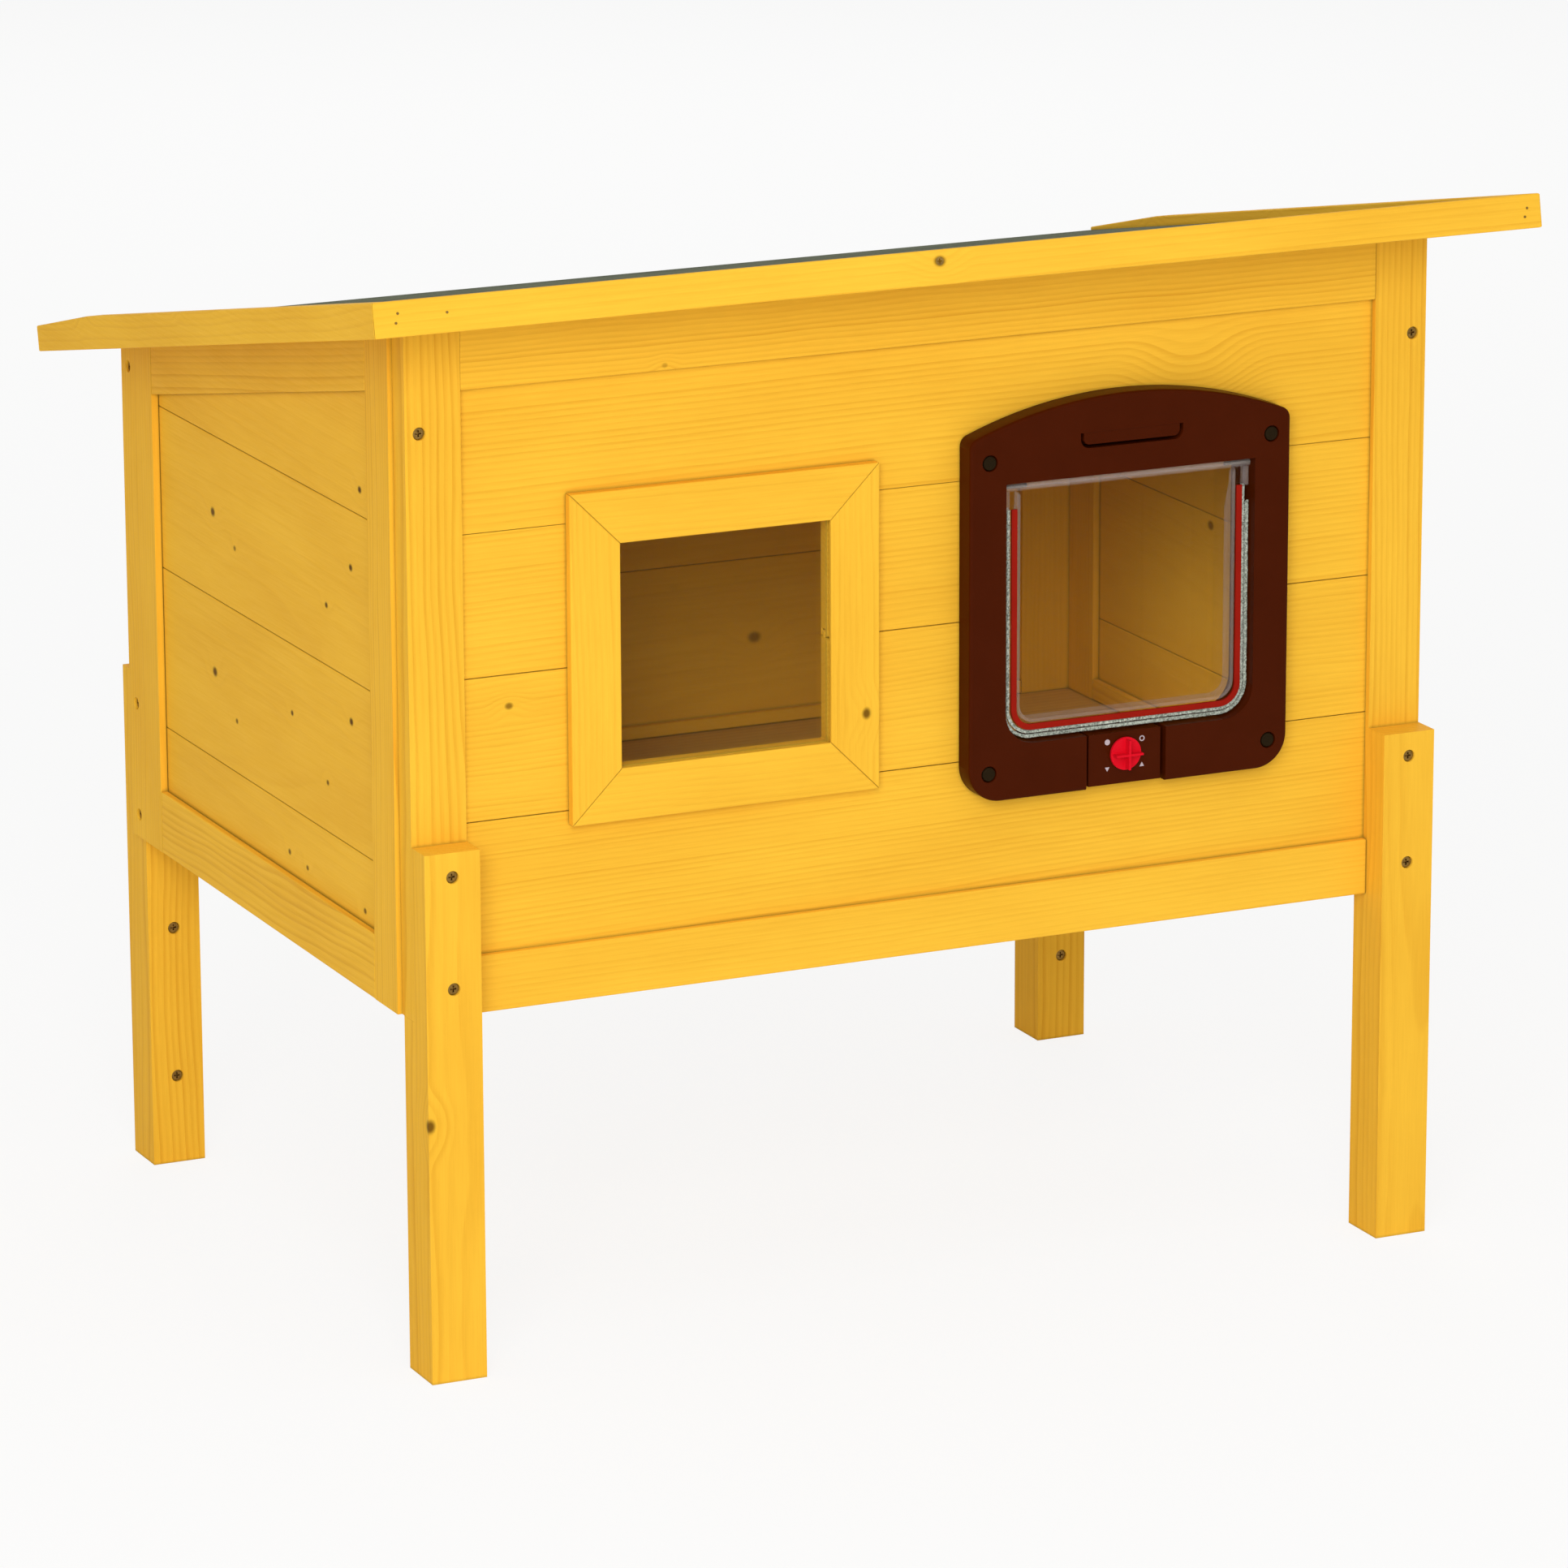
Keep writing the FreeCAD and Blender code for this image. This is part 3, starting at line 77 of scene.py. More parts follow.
def softwood(name, lay, middle, seed, pale, dark, rings, pith, slope=0.0, lean=0.0, figure=1.0, knots=(),
             rows=None):
    """Sawn softwood: growth rings round a heart that runs beside the piece, fibres and knots.

    lay names the axes along the grain, across the face and into the wood. Lengths are in mm:
    rings is the ring width, pith the heart's place across and into the wood from the middle,
    knots are (along, across, radius, darkness) and run right through, or lie round a fifth value, a depth,
    and rows the first seam and the board width where the piece is several boards. figure is how
    strongly the rings show."""
    material, tree, shader, place = finish(name)
    split = node(tree, "ShaderNodeSeparateXYZ", {0: place}).node.outputs
    turned = node(tree, "ShaderNodeCombineXYZ", {number: split["XYZ".index(axis.upper())]
                                                 for number, axis in enumerate(lay)})
    spot = node(tree, "ShaderNodeVectorMath", {0: turned, "Scale": 1000}, operation="SCALE")
    along, across, depth = node(tree, "ShaderNodeSeparateXYZ", {0: spot}).node.outputs
    grain = node(tree, "ShaderNodeVectorMath", {0: spot, 1: (seed * 173.0, seed * 71.0, seed * 37.0)})
    across_middle = middle[1] + pith[0]
    if rows:
        steps = node(tree, "ShaderNodeMath", {0: across, 1: rows[0]}, operation="SUBTRACT")
        steps = node(tree, "ShaderNodeMath", {0: steps, 1: rows[1]}, operation="DIVIDE")
        row = node(tree, "ShaderNodeMath", {0: steps}, operation="FLOOR")
        # Each board comes from another tree, so the pattern jumps at a seam
        jump = node(tree, "ShaderNodeVectorMath", {0: row, 1: (311.0, 47.0, 83.0)}, operation="MULTIPLY")
        grain = node(tree, "ShaderNodeVectorMath", {0: grain, 1: jump})
        across = node(tree, "ShaderNodeMath", {0: row, 1: -0.72 * rows[1], 2: across},
                      operation="MULTIPLY_ADD")
        across_middle = rows[0] + pith[0]
    run = node(tree, "ShaderNodeMath", {0: along, 1: middle[0]}, operation="SUBTRACT")
    bend = node(tree, "ShaderNodeVectorMath", {0: grain, 1: (1 / 240, 1 / 70, 1 / 70)}, operation="MULTIPLY")
    bend = node(tree, "ShaderNodeTexNoise", {"Vector": bend, "Scale": 1.0, "Detail": 2.0})
    wander = node(tree, "ShaderNodeMapRange", {"Value": bend, 3: -9.0, 4: 9.0})
    sideways = node(tree, "ShaderNodeMath", {0: across, 1: across_middle}, operation="SUBTRACT")
    sideways = node(tree, "ShaderNodeMath", {0: run, 1: slope, 2: sideways}, operation="MULTIPLY_ADD")
    sideways = node(tree, "ShaderNodeMath", {0: wander, 1: 0.35, 2: sideways}, operation="MULTIPLY_ADD")
    inward = node(tree, "ShaderNodeMath", {0: depth, 1: middle[2] + pith[1]}, operation="SUBTRACT")
    inward = node(tree, "ShaderNodeMath", {0: run, 1: lean, 2: inward}, operation="MULTIPLY_ADD")
    inward = node(tree, "ShaderNodeMath", {0: wander, 1: 1.0, 2: inward}, operation="MULTIPLY_ADD")
    radius = node(tree, "ShaderNodeCombineXYZ", {0: sideways, 1: inward})
    radius = node(tree, "ShaderNodeVectorMath", {0: radius}, out="Value", operation="LENGTH")
    # Rings swell round a knot, which is a dark round with a soft rim
    heart = None
    for knot_along, knot_across, size, depth_of_colour, *end in knots:
        centre, share = (knot_along, knot_across, sum(end)), (0.8, 1, len(end))
        away = node(tree, "ShaderNodeVectorMath", {0: spot, 1: centre}, operation="SUBTRACT")
        away = node(tree, "ShaderNodeVectorMath", {0: away, 1: share}, operation="MULTIPLY")
        away = node(tree, "ShaderNodeVectorMath", {0: away}, out="Value", operation="LENGTH")
        swell = node(tree, "ShaderNodeMapRange", {"Value": away, 1: 7 * size, 2: 0.0, 3: 0.0, 4: 2.0 * size},
                     interpolation_type="SMOOTHERSTEP")
        radius = node(tree, "ShaderNodeMath", {0: radius, 1: swell})
        core = node(tree, "ShaderNodeMapRange",
                    {"Value": away, 1: 1.3 * size, 2: 0.4 * size, 4: depth_of_colour},
                    interpolation_type="SMOOTHSTEP")
        heart = core if heart is None else node(tree, "ShaderNodeMath", {0: heart, 1: core},
                                                operation="MAXIMUM")
    count = node(tree, "ShaderNodeMath", {0: radius, 1: rings}, operation="DIVIDE")
    year = node(tree, "ShaderNodeMath", {0: count}, operation="FLOOR")
    season = node(tree, "ShaderNodeMath", {0: count}, operation="FRACT")
    summer = node(tree, "ShaderNodeMapRange", {"Value": season, 1: 0.25, 2: 0.88},
                  interpolation_type="SMOOTHSTEP")
    winter = node(tree, "ShaderNodeMapRange", {"Value": season, 1: 1.0, 2: 0.9},
                  interpolation_type="SMOOTHSTEP")
    late = node(tree, "ShaderNodeMath", {0: summer, 1: winter}, operation="MULTIPLY")
    good_year = node(tree, "ShaderNodeTexWhiteNoise", {"W": year}, noise_dimensions="1D")
    good_year = node(tree, "ShaderNodeMapRange", {"Value": good_year, 3: 0.25, 4: 1.0})
    late = node(tree, "ShaderNodeMath", {0: late, 1: good_year}, operation="MULTIPLY")
    # Fibres about 0.9 mm wide, and clouds where the wood took more stain
    fibre = node(tree, "ShaderNodeVectorMath", {0: grain, 1: (1 / 30, 1 / 0.9, 1 / 0.9)},
                 operation="MULTIPLY")
    fibre = node(tree, "ShaderNodeTexNoise", {"Vector": fibre, "Scale": 1.0, "Detail": 3.0})
    cloud = node(tree, "ShaderNodeVectorMath", {0: grain, 1: (1 / 160, 1 / 45, 1 / 45)}, operation="MULTIPLY")
    cloud = node(tree, "ShaderNodeTexNoise", {"Vector": cloud, "Scale": 1.0, "Detail": 2.0})
    tone = node(tree, "ShaderNodeMath", {0: late, 1: 0.62 * figure}, operation="MULTIPLY")
    tone = node(tree, "ShaderNodeMath", {0: fibre, 1: 0.55, 2: tone}, operation="MULTIPLY_ADD")
    tone = node(tree, "ShaderNodeMath", {0: cloud, 1: 0.8, 2: tone}, operation="MULTIPLY_ADD")
    tone = node(tree, "ShaderNodeMapRange", {"Value": tone, 1: 0.45, 2: 1.7})
    colour = node(tree, "ShaderNodeMix", {0: tone, 6: linear(pale), 7: linear(dark)}, out=2, data_type="RGBA")
    if heart:
        colour = node(tree, "ShaderNodeMix", {0: heart, 6: colour, 7: linear("#4E2A06")}, out=2,
                      data_type="RGBA")
    # Painted shade: corners and seams within 3 mm of another surface come out darker and browner
    corner = node(tree, "ShaderNodeAmbientOcclusion", {"Distance": 0.003}, out="AO", samples=8)
    corner = node(tree, "ShaderNodeMapRange", {"Value": corner, 1: 0.85, 2: 0.4, 4: 0.6})
    colour = node(tree, "ShaderNodeMix", {0: corner, 6: colour, 7: linear("#947A28")}, out=2,
                  data_type="RGBA")
    relief = node(tree, "ShaderNodeMath", {0: fibre, 1: 0.5, 2: late}, operation="MULTIPLY_ADD")
    bump = node(tree, "ShaderNodeBump", {"Height": relief, "Strength": 0.3, "Distance": 0.0002})
    rough = node(tree, "ShaderNodeMapRange", {"Value": fibre, 1: 0.3, 2: 0.7, 3: 0.40, 4: 0.54})
    for socket, source in {"Base Color": colour, "Normal": bump, "Roughness": rough}.items():
        tree.links.new(source, shader.inputs[socket])
    shader.inputs["Specular IOR Level"].default_value = 0.03
    return material


def dress(piece, material, edge=0.0):
    """Give a CAD piece its finish, and break its sharp edges by that many metres."""
    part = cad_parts[piece]
    part.data.materials.clear()
    part.data.materials.append(material)
    if edge:
        weld = part.modifiers.new("weld", "WELD")
        weld.merge_threshold = 0.000002
        flat = part.modifiers.new("flat_faces", "DECIMATE")
        flat.decimate_type = "DISSOLVE"
        flat.angle_limit = math.radians(0.5)
        round_over = part.modifiers.new("broken_edge", "BEVEL")
        round_over.width = edge
        round_over.segments = 2
        round_over.limit_method = "ANGLE"
        round_over.angle_limit = math.radians(50)


def middle_of(piece, lay):
    """The middle of a CAD piece in mm, in the order of its lay."""
    low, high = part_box(piece)
    return [500 * (low["xyz".index(axis)] + high["xyz".index(axis)]) for axis in lay]


def stained_spruce(piece, lay, seed, rings, pith, **features):
    """Spruce under a yellow satin stain: honey coloured, with rings a little darker."""
    material = softwood(f"stained_spruce_{piece}", lay, middle_of(piece, lay), seed, "#F7C03B", "#DB9B26",
                        rings, pith, **features)
    dress(piece, material, 0.0008)


stained_spruce("front_stile_left", "zxy", 1, 3.8, (54, 26), lean=0.012)
stained_spruce("front_stile_right", "zxy", 2, 3.6, (70, 24), lean=0.01)
stained_spruce("front_top_rail", "xzy", 3, 3.2, (130, 30), lean=0.01, figure=1.1,
               knots=[(-172, 597, 1.6, 0.35)])
stained_spruce("front_bottom_rail", "xzy", 4, 3.0, (-80, 40), lean=0.015, figure=0.5)
stained_spruce("front_board_1", "xzy", 5, 2.8, (-90, 44), lean=0.02, figure=0.8)
stained_spruce("front_board_2", "xzy", 6, 3.0, (90, 40), lean=-0.02, figure=0.7,
               knots=[(-271, 402, 2.2, 0.7)])
stained_spruce("front_board_3", "xzy", 7, 3.2, (-90, 44), lean=0.02, figure=0.8)
stained_spruce("front_board_4", "xzy", 8, 3.4, (-90, 48), lean=0.015, figure=0.9,
               knots=[(178, 553, 7.5, 0.0)])


# Side walls: two stiles, a top rail under the slope of the roof and a bottom rail round four boards.
# The same stained spruce, from knottier boards; the top rail's grain runs down the slope.
pitch = math.radians(11.4)
board_width = 103.5
side_rows = (300.5, board_width)
side_knots = {
    "left": [(98.6, 458.8, 3.0, 0.9), (62.2, 443.5, 1.8, 0.7), (-145.5, 523.1, 2.3, 0.95),
             (-129.1, 472.7, 2.3, 0.95), (-88.9, 441.2, 2.0, 0.9), (100.8, 356.9, 3.2, 0.9),
             (64.6, 333.8, 1.8, 0.8), (-29.4, 361.0, 1.9, 0.9), (-125.9, 378.2, 2.5, 0.95),
             (-86.0, 331.2, 1.8, 0.85), (-20.6, 271.9, 2.0, 0.8), (-49.9, 269.1, 1.8, 0.8),
             (-142.6, 266.0, 2.0, 0.8)],
    "right": [(-60.0, 468.0, 5.6, 0.85), (34.0, 396.6, 3.4, 0.75), (-120.0, 345.0, 3.2, 0.9),
              (110.0, 450.0, 3.0, 0.9)],
}
for seed, side in ((10, "left"), (20, "right")):
    stained_spruce(f"{side}_front_stile", "zyx", seed, 3.2, (60, 20), lean=0.01)
    stained_spruce(f"{side}_back_stile", "zyx", seed + 1, 3.6, (64, 26), lean=0.01, figure=0.6)
    stained_spruce(f"{side}_top_rail", "yzx", seed + 2, 3.4, (-64, 30), slope=math.tan(pitch), lean=0.015)
    stained_spruce(f"{side}_bottom_rail", "yzx", seed + 3, 3.8, (50, 30), lean=0.02)
    stained_spruce(f"{side}_boards", "yzx", seed + 4, 4.6, (30, 55), lean=0.03, figure=0.22,
                   knots=side_knots[side], rows=side_rows)


# Back wall: two stiles and two rails round three boards, housed between the side walls.
# The same stained spruce.
for seed, (piece, lay) in enumerate({"back_stile_left": "zxy", "back_stile_right": "zxy",
                                     "back_top_rail": "xzy", "back_bottom_rail": "xzy"}.items(), start=30):
    stained_spruce(piece, lay, seed, 3.2, (70, 30), lean=0.012, figure=0.4)
stained_spruce("back_boards", "xzy", 35, 4.0, (-30, 52), lean=0.03, figure=0.3,
               rows=(357.5, board_width),
               knots=[(-190, 440, 3.4, 0.9), (-40, 388, 2.6, 0.9), (150, 430, 4.0, 0.85), (92, 304, 4.0, 0.7),
                      (-240, 322, 3.0, 0.9), (210, 290, 2.2, 0.8)])


# Legs: an outer board lapped on the wall and a block behind it that the wall stands on.
# Stained spruce, screwed together from the inside.
for seed, corner in enumerate(("front_left", "front_right", "back_left", "back_right"), start=40):
    knots = [(160, -335, 3.6, 0.85, -241.8)] if corner == "front_left" else []
    stained_spruce(f"leg_board_{corner}", "zxy", seed, 4.2, (14, 38), lean=0.012, figure=0.8, knots=knots)
    stained_spruce(f"leg_block_{corner}", "zxy", seed + 5, 3.8, (50, 30), lean=0.02)


# Floor panel: thin plywood in a slot round the foot of the walls.
# Rotary-cut poplar, left bare, so its figure is wide and pale.
def bare_plywood(piece, seed):
    """Poplar plywood without a stain: a wide, pale figure."""
    dress(piece, softwood(f"bare_plywood_{piece}", "xyz", middle_of(piece, "xyz"), seed, "#E2B95C", "#C79A45",
                          7.0, (30, 18), lean=0.03))


bare_plywood("floor_panel", 50)


# Wood screws: countersunk, with a cross recess, sunk a little under the wood's face.
# Yellow passivated steel, driven at the corners of the walls and through the legs.
def shape(name, mesh_data, body, slot, material, *stands_for):
    """Make a finished mesh into a piece that moves with a body, in place of the CAD nodes it stands for."""
    mesh = bpy.data.meshes.new(name)
    mesh_data.to_mesh(mesh)
    mesh_data.free()
    mesh.materials.append(material)
    piece = bpy.data.objects.new(name, mesh)
    bpy.context.collection.objects.link(piece)
    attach(piece, body)
    if stands_for:
        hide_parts(*stands_for)


def cross_head(radius):
    """A countersunk head that faces up, with a cross recess in its flat top."""
    head = bmesh.new()
    bmesh.ops.create_circle(head, cap_ends=True, radius=radius, segments=40)
    wing, reach = 0.15 * radius, 0.58 * radius
    for axis in (Vector((1, 0, 0)), Vector((0, 1, 0))):
        for offset in (-reach, -wing, wing, reach):
            bmesh.ops.bisect_plane(head, geom=head.verts[:] + head.edges[:] + head.faces[:],
                                   plane_co=axis * offset, plane_no=axis)
    recess = [face for face in head.faces
              if min(abs(face.calc_center_median()[0]), abs(face.calc_center_median()[1])) < wing
              and face.calc_center_median().length < reach]
    bmesh.ops.inset_region(head, faces=recess, thickness=0.05 * radius, depth=-0.5 * radius)
    rim = [edge for edge in head.edges if edge.is_boundary]
    cone = bmesh.ops.extrude_edge_only(head, edges=rim)["geom"]
    lower = [item for item in cone if isinstance(item, bmesh.types.BMVert)]
    bmesh.ops.scale(head, vec=(0.6, 0.6, 1), verts=lower)
    bmesh.ops.translate(head, vec=(0, 0, -0.45 * radius), verts=lower)
    bmesh.ops.edgeloop_fill(head, edges=[edge for edge in head.edges if edge.is_boundary])
    bmesh.ops.bevel(head, geom=rim, offset=0.06 * radius, segments=2, profile=0.5, affect="EDGES",
                    material=-1)
    bmesh.ops.recalc_face_normals(head, faces=head.faces)
    mesh = bpy.data.meshes.new("cross_head")
    head.to_mesh(mesh)
    head.free()
    return mesh


def set_in(whole, part, spot, facing):
    """Add a part that faces up to a mesh, turned to face another way at a spot."""
    known = len(whole.verts)
    whole.from_mesh(part)
    whole.verts.ensure_lookup_table()
    turn = Vector((0, 0, 1)).rotation_difference(Vector(facing)).to_matrix().to_4x4()
    bmesh.ops.transform(whole, matrix=Matrix.Translation(spot) @ turn, verts=whole.verts[known:])


def plated_steel(name, colour, stain):
    """Plated steel: bright, with a faint cloudy film from the plating bath."""
    material, tree, shader, place = finish(name)
    film = node(tree, "ShaderNodeTexNoise", {"Vector": place, "Scale": 450.0, "Detail": 3.0})
    tint = node(tree, "ShaderNodeMix", {0: film, 6: linear(colour), 7: linear(stain)}, out=2,
                data_type="RGBA")
    rough = node(tree, "ShaderNodeMapRange", {"Value": film, 3: 0.25, 4: 0.5})
    tree.links.new(tint, shader.inputs["Base Color"])
    tree.links.new(rough, shader.inputs["Roughness"])
    shader.inputs["Metallic"].default_value = 1.0
    return material


passivated_steel = plated_steel("yellow_passivated_steel", "#BC964F", "#5C421E")
leg_low, leg_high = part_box("leg_board_front_left")
side_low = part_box("left_back_stile")[0]
front_y, back_y = leg_high[1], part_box("leg_board_back_left")[0][1]
head_radius, sink = 0.0034, 0.0015
leg_board_thick, leg_block_thick, side_screw_inset = 0.020, 0.015, 0.012
leg_across, back_leg_across, corner_across, corner_height = 0.3185, 0.311, 0.327, 0.571
screw_spots = []
for sign in (-1, 1):
    for height in (0.242, 0.310):
        screw_spots.append(((sign * leg_across, leg_low[1] + sink, height), (0, -1, 0)))
    for height in (0.25833, 0.28267):
        screw_spots.append(((sign * back_leg_across, back_y + leg_board_thick - sink, height), (0, 1, 0)))
    for height in (0.058, 0.157):
        screw_spots.append(((sign * leg_across, front_y + leg_block_thick - sink, height), (0, 1, 0)))
        screw_spots.append(((sign * leg_across, back_y - leg_block_thick + sink, height), (0, -1, 0)))
    screw_spots.append(((sign * corner_across, front_y + sink, corner_height), (0, -1, 0)))
    for height in (0.234, 0.307, 0.5246):
        side_spot = (sign * (-side_low[0] - sink), back_y - side_screw_inset, height)
        screw_spots.append((side_spot, (sign, 0, 0)))
heads = bmesh.new()
head_mesh = cross_head(head_radius)
for spot, facing in screw_spots:
    set_in(heads, head_mesh, spot, facing)
shape("wood_screw_heads", heads, "house", "zinc_steel", passivated_steel, "wood_screws")


# Roof: a plywood deck under mineral felt, with mitred fascias nailed round the front and the sides.
# The felt is bitumen sheet under grey-green grit; the fascias are stained spruce.
def mineral_felt():
    """Bitumen felt: matt grit about 1 mm across, drawn at twice that so that it shows, in uneven shades."""
    material, tree, shader, place = finish("mineral_roofing_felt")
    grit = node(tree, "ShaderNodeTexVoronoi", {"Vector": place, "Scale": 520.0}, out="Color")
    grit = node(tree, "ShaderNodeSeparateColor", {0: grit})
    cloud = node(tree, "ShaderNodeTexNoise", {"Vector": place, "Scale": 9.0, "Detail": 4.0})
    shade = node(tree, "ShaderNodeMath", {0: grit, 1: 0.6, 2: cloud}, operation="MULTIPLY_ADD")
    shade = node(tree, "ShaderNodeMapRange", {"Value": shade, 1: 0.35, 2: 1.25})
    colour = node(tree, "ShaderNodeMix", {0: shade, 6: linear("#454B39"), 7: linear("#6A6F56")}, out=2,
                  data_type="RGBA")
    wave = node(tree, "ShaderNodeTexNoise", {"Vector": place, "Scale": 6.0, "Detail": 1.0})
    height = node(tree, "ShaderNodeMath", {0: wave, 1: 6.0, 2: grit}, operation="MULTIPLY_ADD")
    bump = node(tree, "ShaderNodeBump", {"Height": height, "Strength": 0.5, "Distance": 0.0008})
    tree.links.new(colour, shader.inputs["Base Color"])
    tree.links.new(bump, shader.inputs["Normal"])
    shader.inputs["Roughness"].default_value = 0.92
    shader.inputs["Specular IOR Level"].default_value = 0.2
    return material


bare_plywood("roof_deck", 51)
dress("roof_felt", mineral_felt(), 0.0006)
# The dark round in the front fascia's wood lies just round the screw head near its middle: painted shadow in
# the screw's countersink
stained_spruce("front_fascia", "xzy", 60, 3.6, (-70, 28), lean=0.012, figure=0.6,
               knots=[(-23.8, 656.9, 3.2, 0.9)])
for seed, side in ((61, "left"), (62, "right")):
    stained_spruce(f"{side}_fascia", "yzx", seed, 3.6, (60, 24), slope=math.tan(pitch), lean=0.01, figure=0.5,
                   knots=[(200, 568, 3.0, 0.3), (30, 602, 2.0, 0.2)])


# Fascia nails and screw: wire nails near both ends of the front fascia, and one screw near its middle.
# The same passivated steel as the wood screws. The heads stand a little proud of the wood.
def nail_head(radius, thickness):
    """A flat round head that faces up, with a rounded rim."""
    head = bmesh.new()
    bmesh.ops.create_cone(head, cap_ends=True, segments=20, radius1=radius, radius2=radius,
                          depth=thickness)
    top = [edge for edge in head.edges if all(vert.co.z > 0 for vert in edge.verts)]
    bmesh.ops.bevel(head, geom=top, offset=0.3 * radius, segments=2, profile=0.5, affect="EDGES", material=-1)
    mesh = bpy.data.meshes.new("nail_head")
    head.to_mesh(mesh)
    head.free()
    return mesh


roof_back = Vector((0, math.cos(pitch), -math.sin(pitch)))
roof_up = Vector((0, math.sin(pitch), math.cos(pitch)))
eaves_height, fascia_reach = 0.637, 0.064
eaves = Vector((0, front_y, eaves_height))
fascia_face = eaves - roof_back * fascia_reach
nail_radius, nail_thickness, screw_radius, screw_stand = 0.0008, 0.0008, 0.0026, 0.0001
nail_spots = ((-0.3639, 0.0069), (-0.3654, 0.0015), (-0.3339, 0.0050), (0.3693, 0.0058), (0.3674, 0.0006))
screw_across, screw_rise = -0.0238, 0.0074
nails = bmesh.new()
nail_mesh = nail_head(nail_radius, nail_thickness)
for across, rise in nail_spots:
    set_in(nails, nail_mesh, fascia_face + roof_up * rise + Vector((across, 0, 0)), -roof_back)
set_in(nails, cross_head(screw_radius),
       fascia_face + roof_up * screw_rise + Vector((screw_across, 0, 0)) - roof_back * screw_stand,
       -roof_back)
shape("fascia_nails", nails, "roof", "zinc_steel", passivated_steel)


# Roof hinges: two butt hinges at the back, each with a wall leaf, a roof leaf, a pin and four screws.
# Zinc plated steel, pressed and rolled.
zinc_steel = plated_steel("zinc_plated_steel", "#C6C3BA", "#8D8A80")
for piece in ("hinge_wall_leaves", "hinge_roof_leaves", "hinge_pins"):
    dress(piece, zinc_steel)
leaf_screw_radius, leaf_thickness = 0.0027, 0.0015
hinge_across, screw_step, screw_reach = 0.201, 0.015, 0.015
leaf_screw = cross_head(leaf_screw_radius)
wall_screws, roof_screws = bmesh.new(), bmesh.new()
pin_low, pin_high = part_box("hinge_pins")
axis_y, axis_z = (pin_low[1] + pin_high[1]) / 2, (pin_low[2] + pin_high[2]) / 2
axis_run = (Vector((0, axis_y, axis_z)) - eaves).dot(roof_back)
for sign in (-1, 1):
    for step in (-screw_step, screw_step):
        across = sign * hinge_across + step
        set_in(wall_screws, leaf_screw, (across, back_y + leaf_thickness, axis_z - screw_reach), (0, 1, 0))
        roof_spot = eaves + roof_back * (axis_run + screw_reach) - roof_up * leaf_thickness
        set_in(roof_screws, leaf_screw, roof_spot + Vector((across, 0, 0)), -roof_up)
shape("hinge_wall_screw_heads", wall_screws, "house", "zinc_steel", zinc_steel, "hinge_wall_screws")
shape("hinge_roof_screw_heads", roof_screws, "roof", "zinc_steel", zinc_steel, "hinge_roof_screws")


# Window: a clear acrylic pane held against the boards by four mitred trims.
# The trims are stained spruce, rebated at the back, glued and pinned.
def clear_acrylic(name, thick_from=-1.0, sheet=0.08, thick=0.5):
    """Clear acrylic with a trace of haze from handling. Part of the light passes straight through, as through
    any thin sheet; above the height thick_from, in metres, the plastic is thick, hazy and easier to see."""
    material, tree, shader, place = finish(name)
    haze = node(tree, "ShaderNodeTexNoise", {"Vector": place, "Scale": 30.0, "Detail": 3.0})
    rough = node(tree, "ShaderNodeMapRange", {"Value": haze, 3: 0.01, 4: 0.07})
    height = node(tree, "ShaderNodeSeparateXYZ", {0: place}, out="Z")
    solid = node(tree, "ShaderNodeMapRange", {"Value": height, 1: thick_from, 2: thick_from + 0.0005})
    cover = node(tree, "ShaderNodeMapRange", {"Value": solid, 3: sheet, 4: thick})
    clear = node(tree, "ShaderNodeMapRange", {"Value": solid, 3: 1.0, 4: 0.45})
    for socket, source in {"Roughness": rough, "Alpha": cover, "Transmission Weight": clear}.items():
        tree.links.new(source, shader.inputs[socket])
    shader.inputs["Base Color"].default_value = linear("#E8DAD2")
    shader.inputs["IOR"].default_value = 1.49
    return material


dress("window_pane", clear_acrylic("clear_acrylic_pane", thick_from=1.0))
trim_lays = {"bottom": "xzy", "top": "xzy", "left": "zxy", "right": "zxy"}
for seed, (side, lay) in enumerate(trim_lays.items(), start=70):
    knots = [(373.5, -42.8, 3.0, 0.85)] if side == "right" else []
    stained_spruce(f"window_trim_{side}", lay, seed, 3.4, (70, 26), lean=0.01, figure=0.5, knots=knots)


# Cat flap frames: an arched outer moulding on the wall, and an inner frame whose collar lines the hole.
# Brown ABS, injection moulded with a fine satin texture.
def moulded_plastic(name, colour, shade, rough):
    """Moulded plastic: an even colour with a faint flow, and a mould texture about 0.5 mm across."""
    material, tree, shader, place = finish(name)
    flow = node(tree, "ShaderNodeTexNoise", {"Vector": place, "Scale": 40.0, "Detail": 3.0})
    tint = node(tree, "ShaderNodeMix", {0: flow, 6: linear(colour), 7: linear(shade)}, out=2,
                data_type="RGBA")
    texture = node(tree, "ShaderNodeTexNoise", {"Vector": place, "Scale": 2000.0, "Detail": 1.0})
    bump = node(tree, "ShaderNodeBump", {"Height": texture, "Strength": 0.08, "Distance": 0.0001})
    gloss = node(tree, "ShaderNodeMapRange", {"Value": flow, 3: rough - 0.04, 4: rough + 0.06})
    for socket, source in {"Base Color": tint, "Normal": bump, "Roughness": gloss}.items():
        tree.links.new(source, shader.inputs[socket])
    shader.inputs["Specular IOR Level"].default_value = 0.04
    return material


brown_plastic = moulded_plastic("brown_moulded_abs", "#3F1200", "#471602", 0.34)
dress("flap_outer_frame", brown_plastic, 0.0004)
dress("flap_inner_frame", brown_plastic)
dress("flap_screws", zinc_steel)


# Screw caps: four push-in discs over the screws that clamp the two frames.
# Darker brown ABS, each with a shallow dished face inside a rounded rim.
cap_plastic = moulded_plastic("dark_brown_moulded_abs", "#1D1508", "#261B0C", 0.45)
cap = bmesh.new()
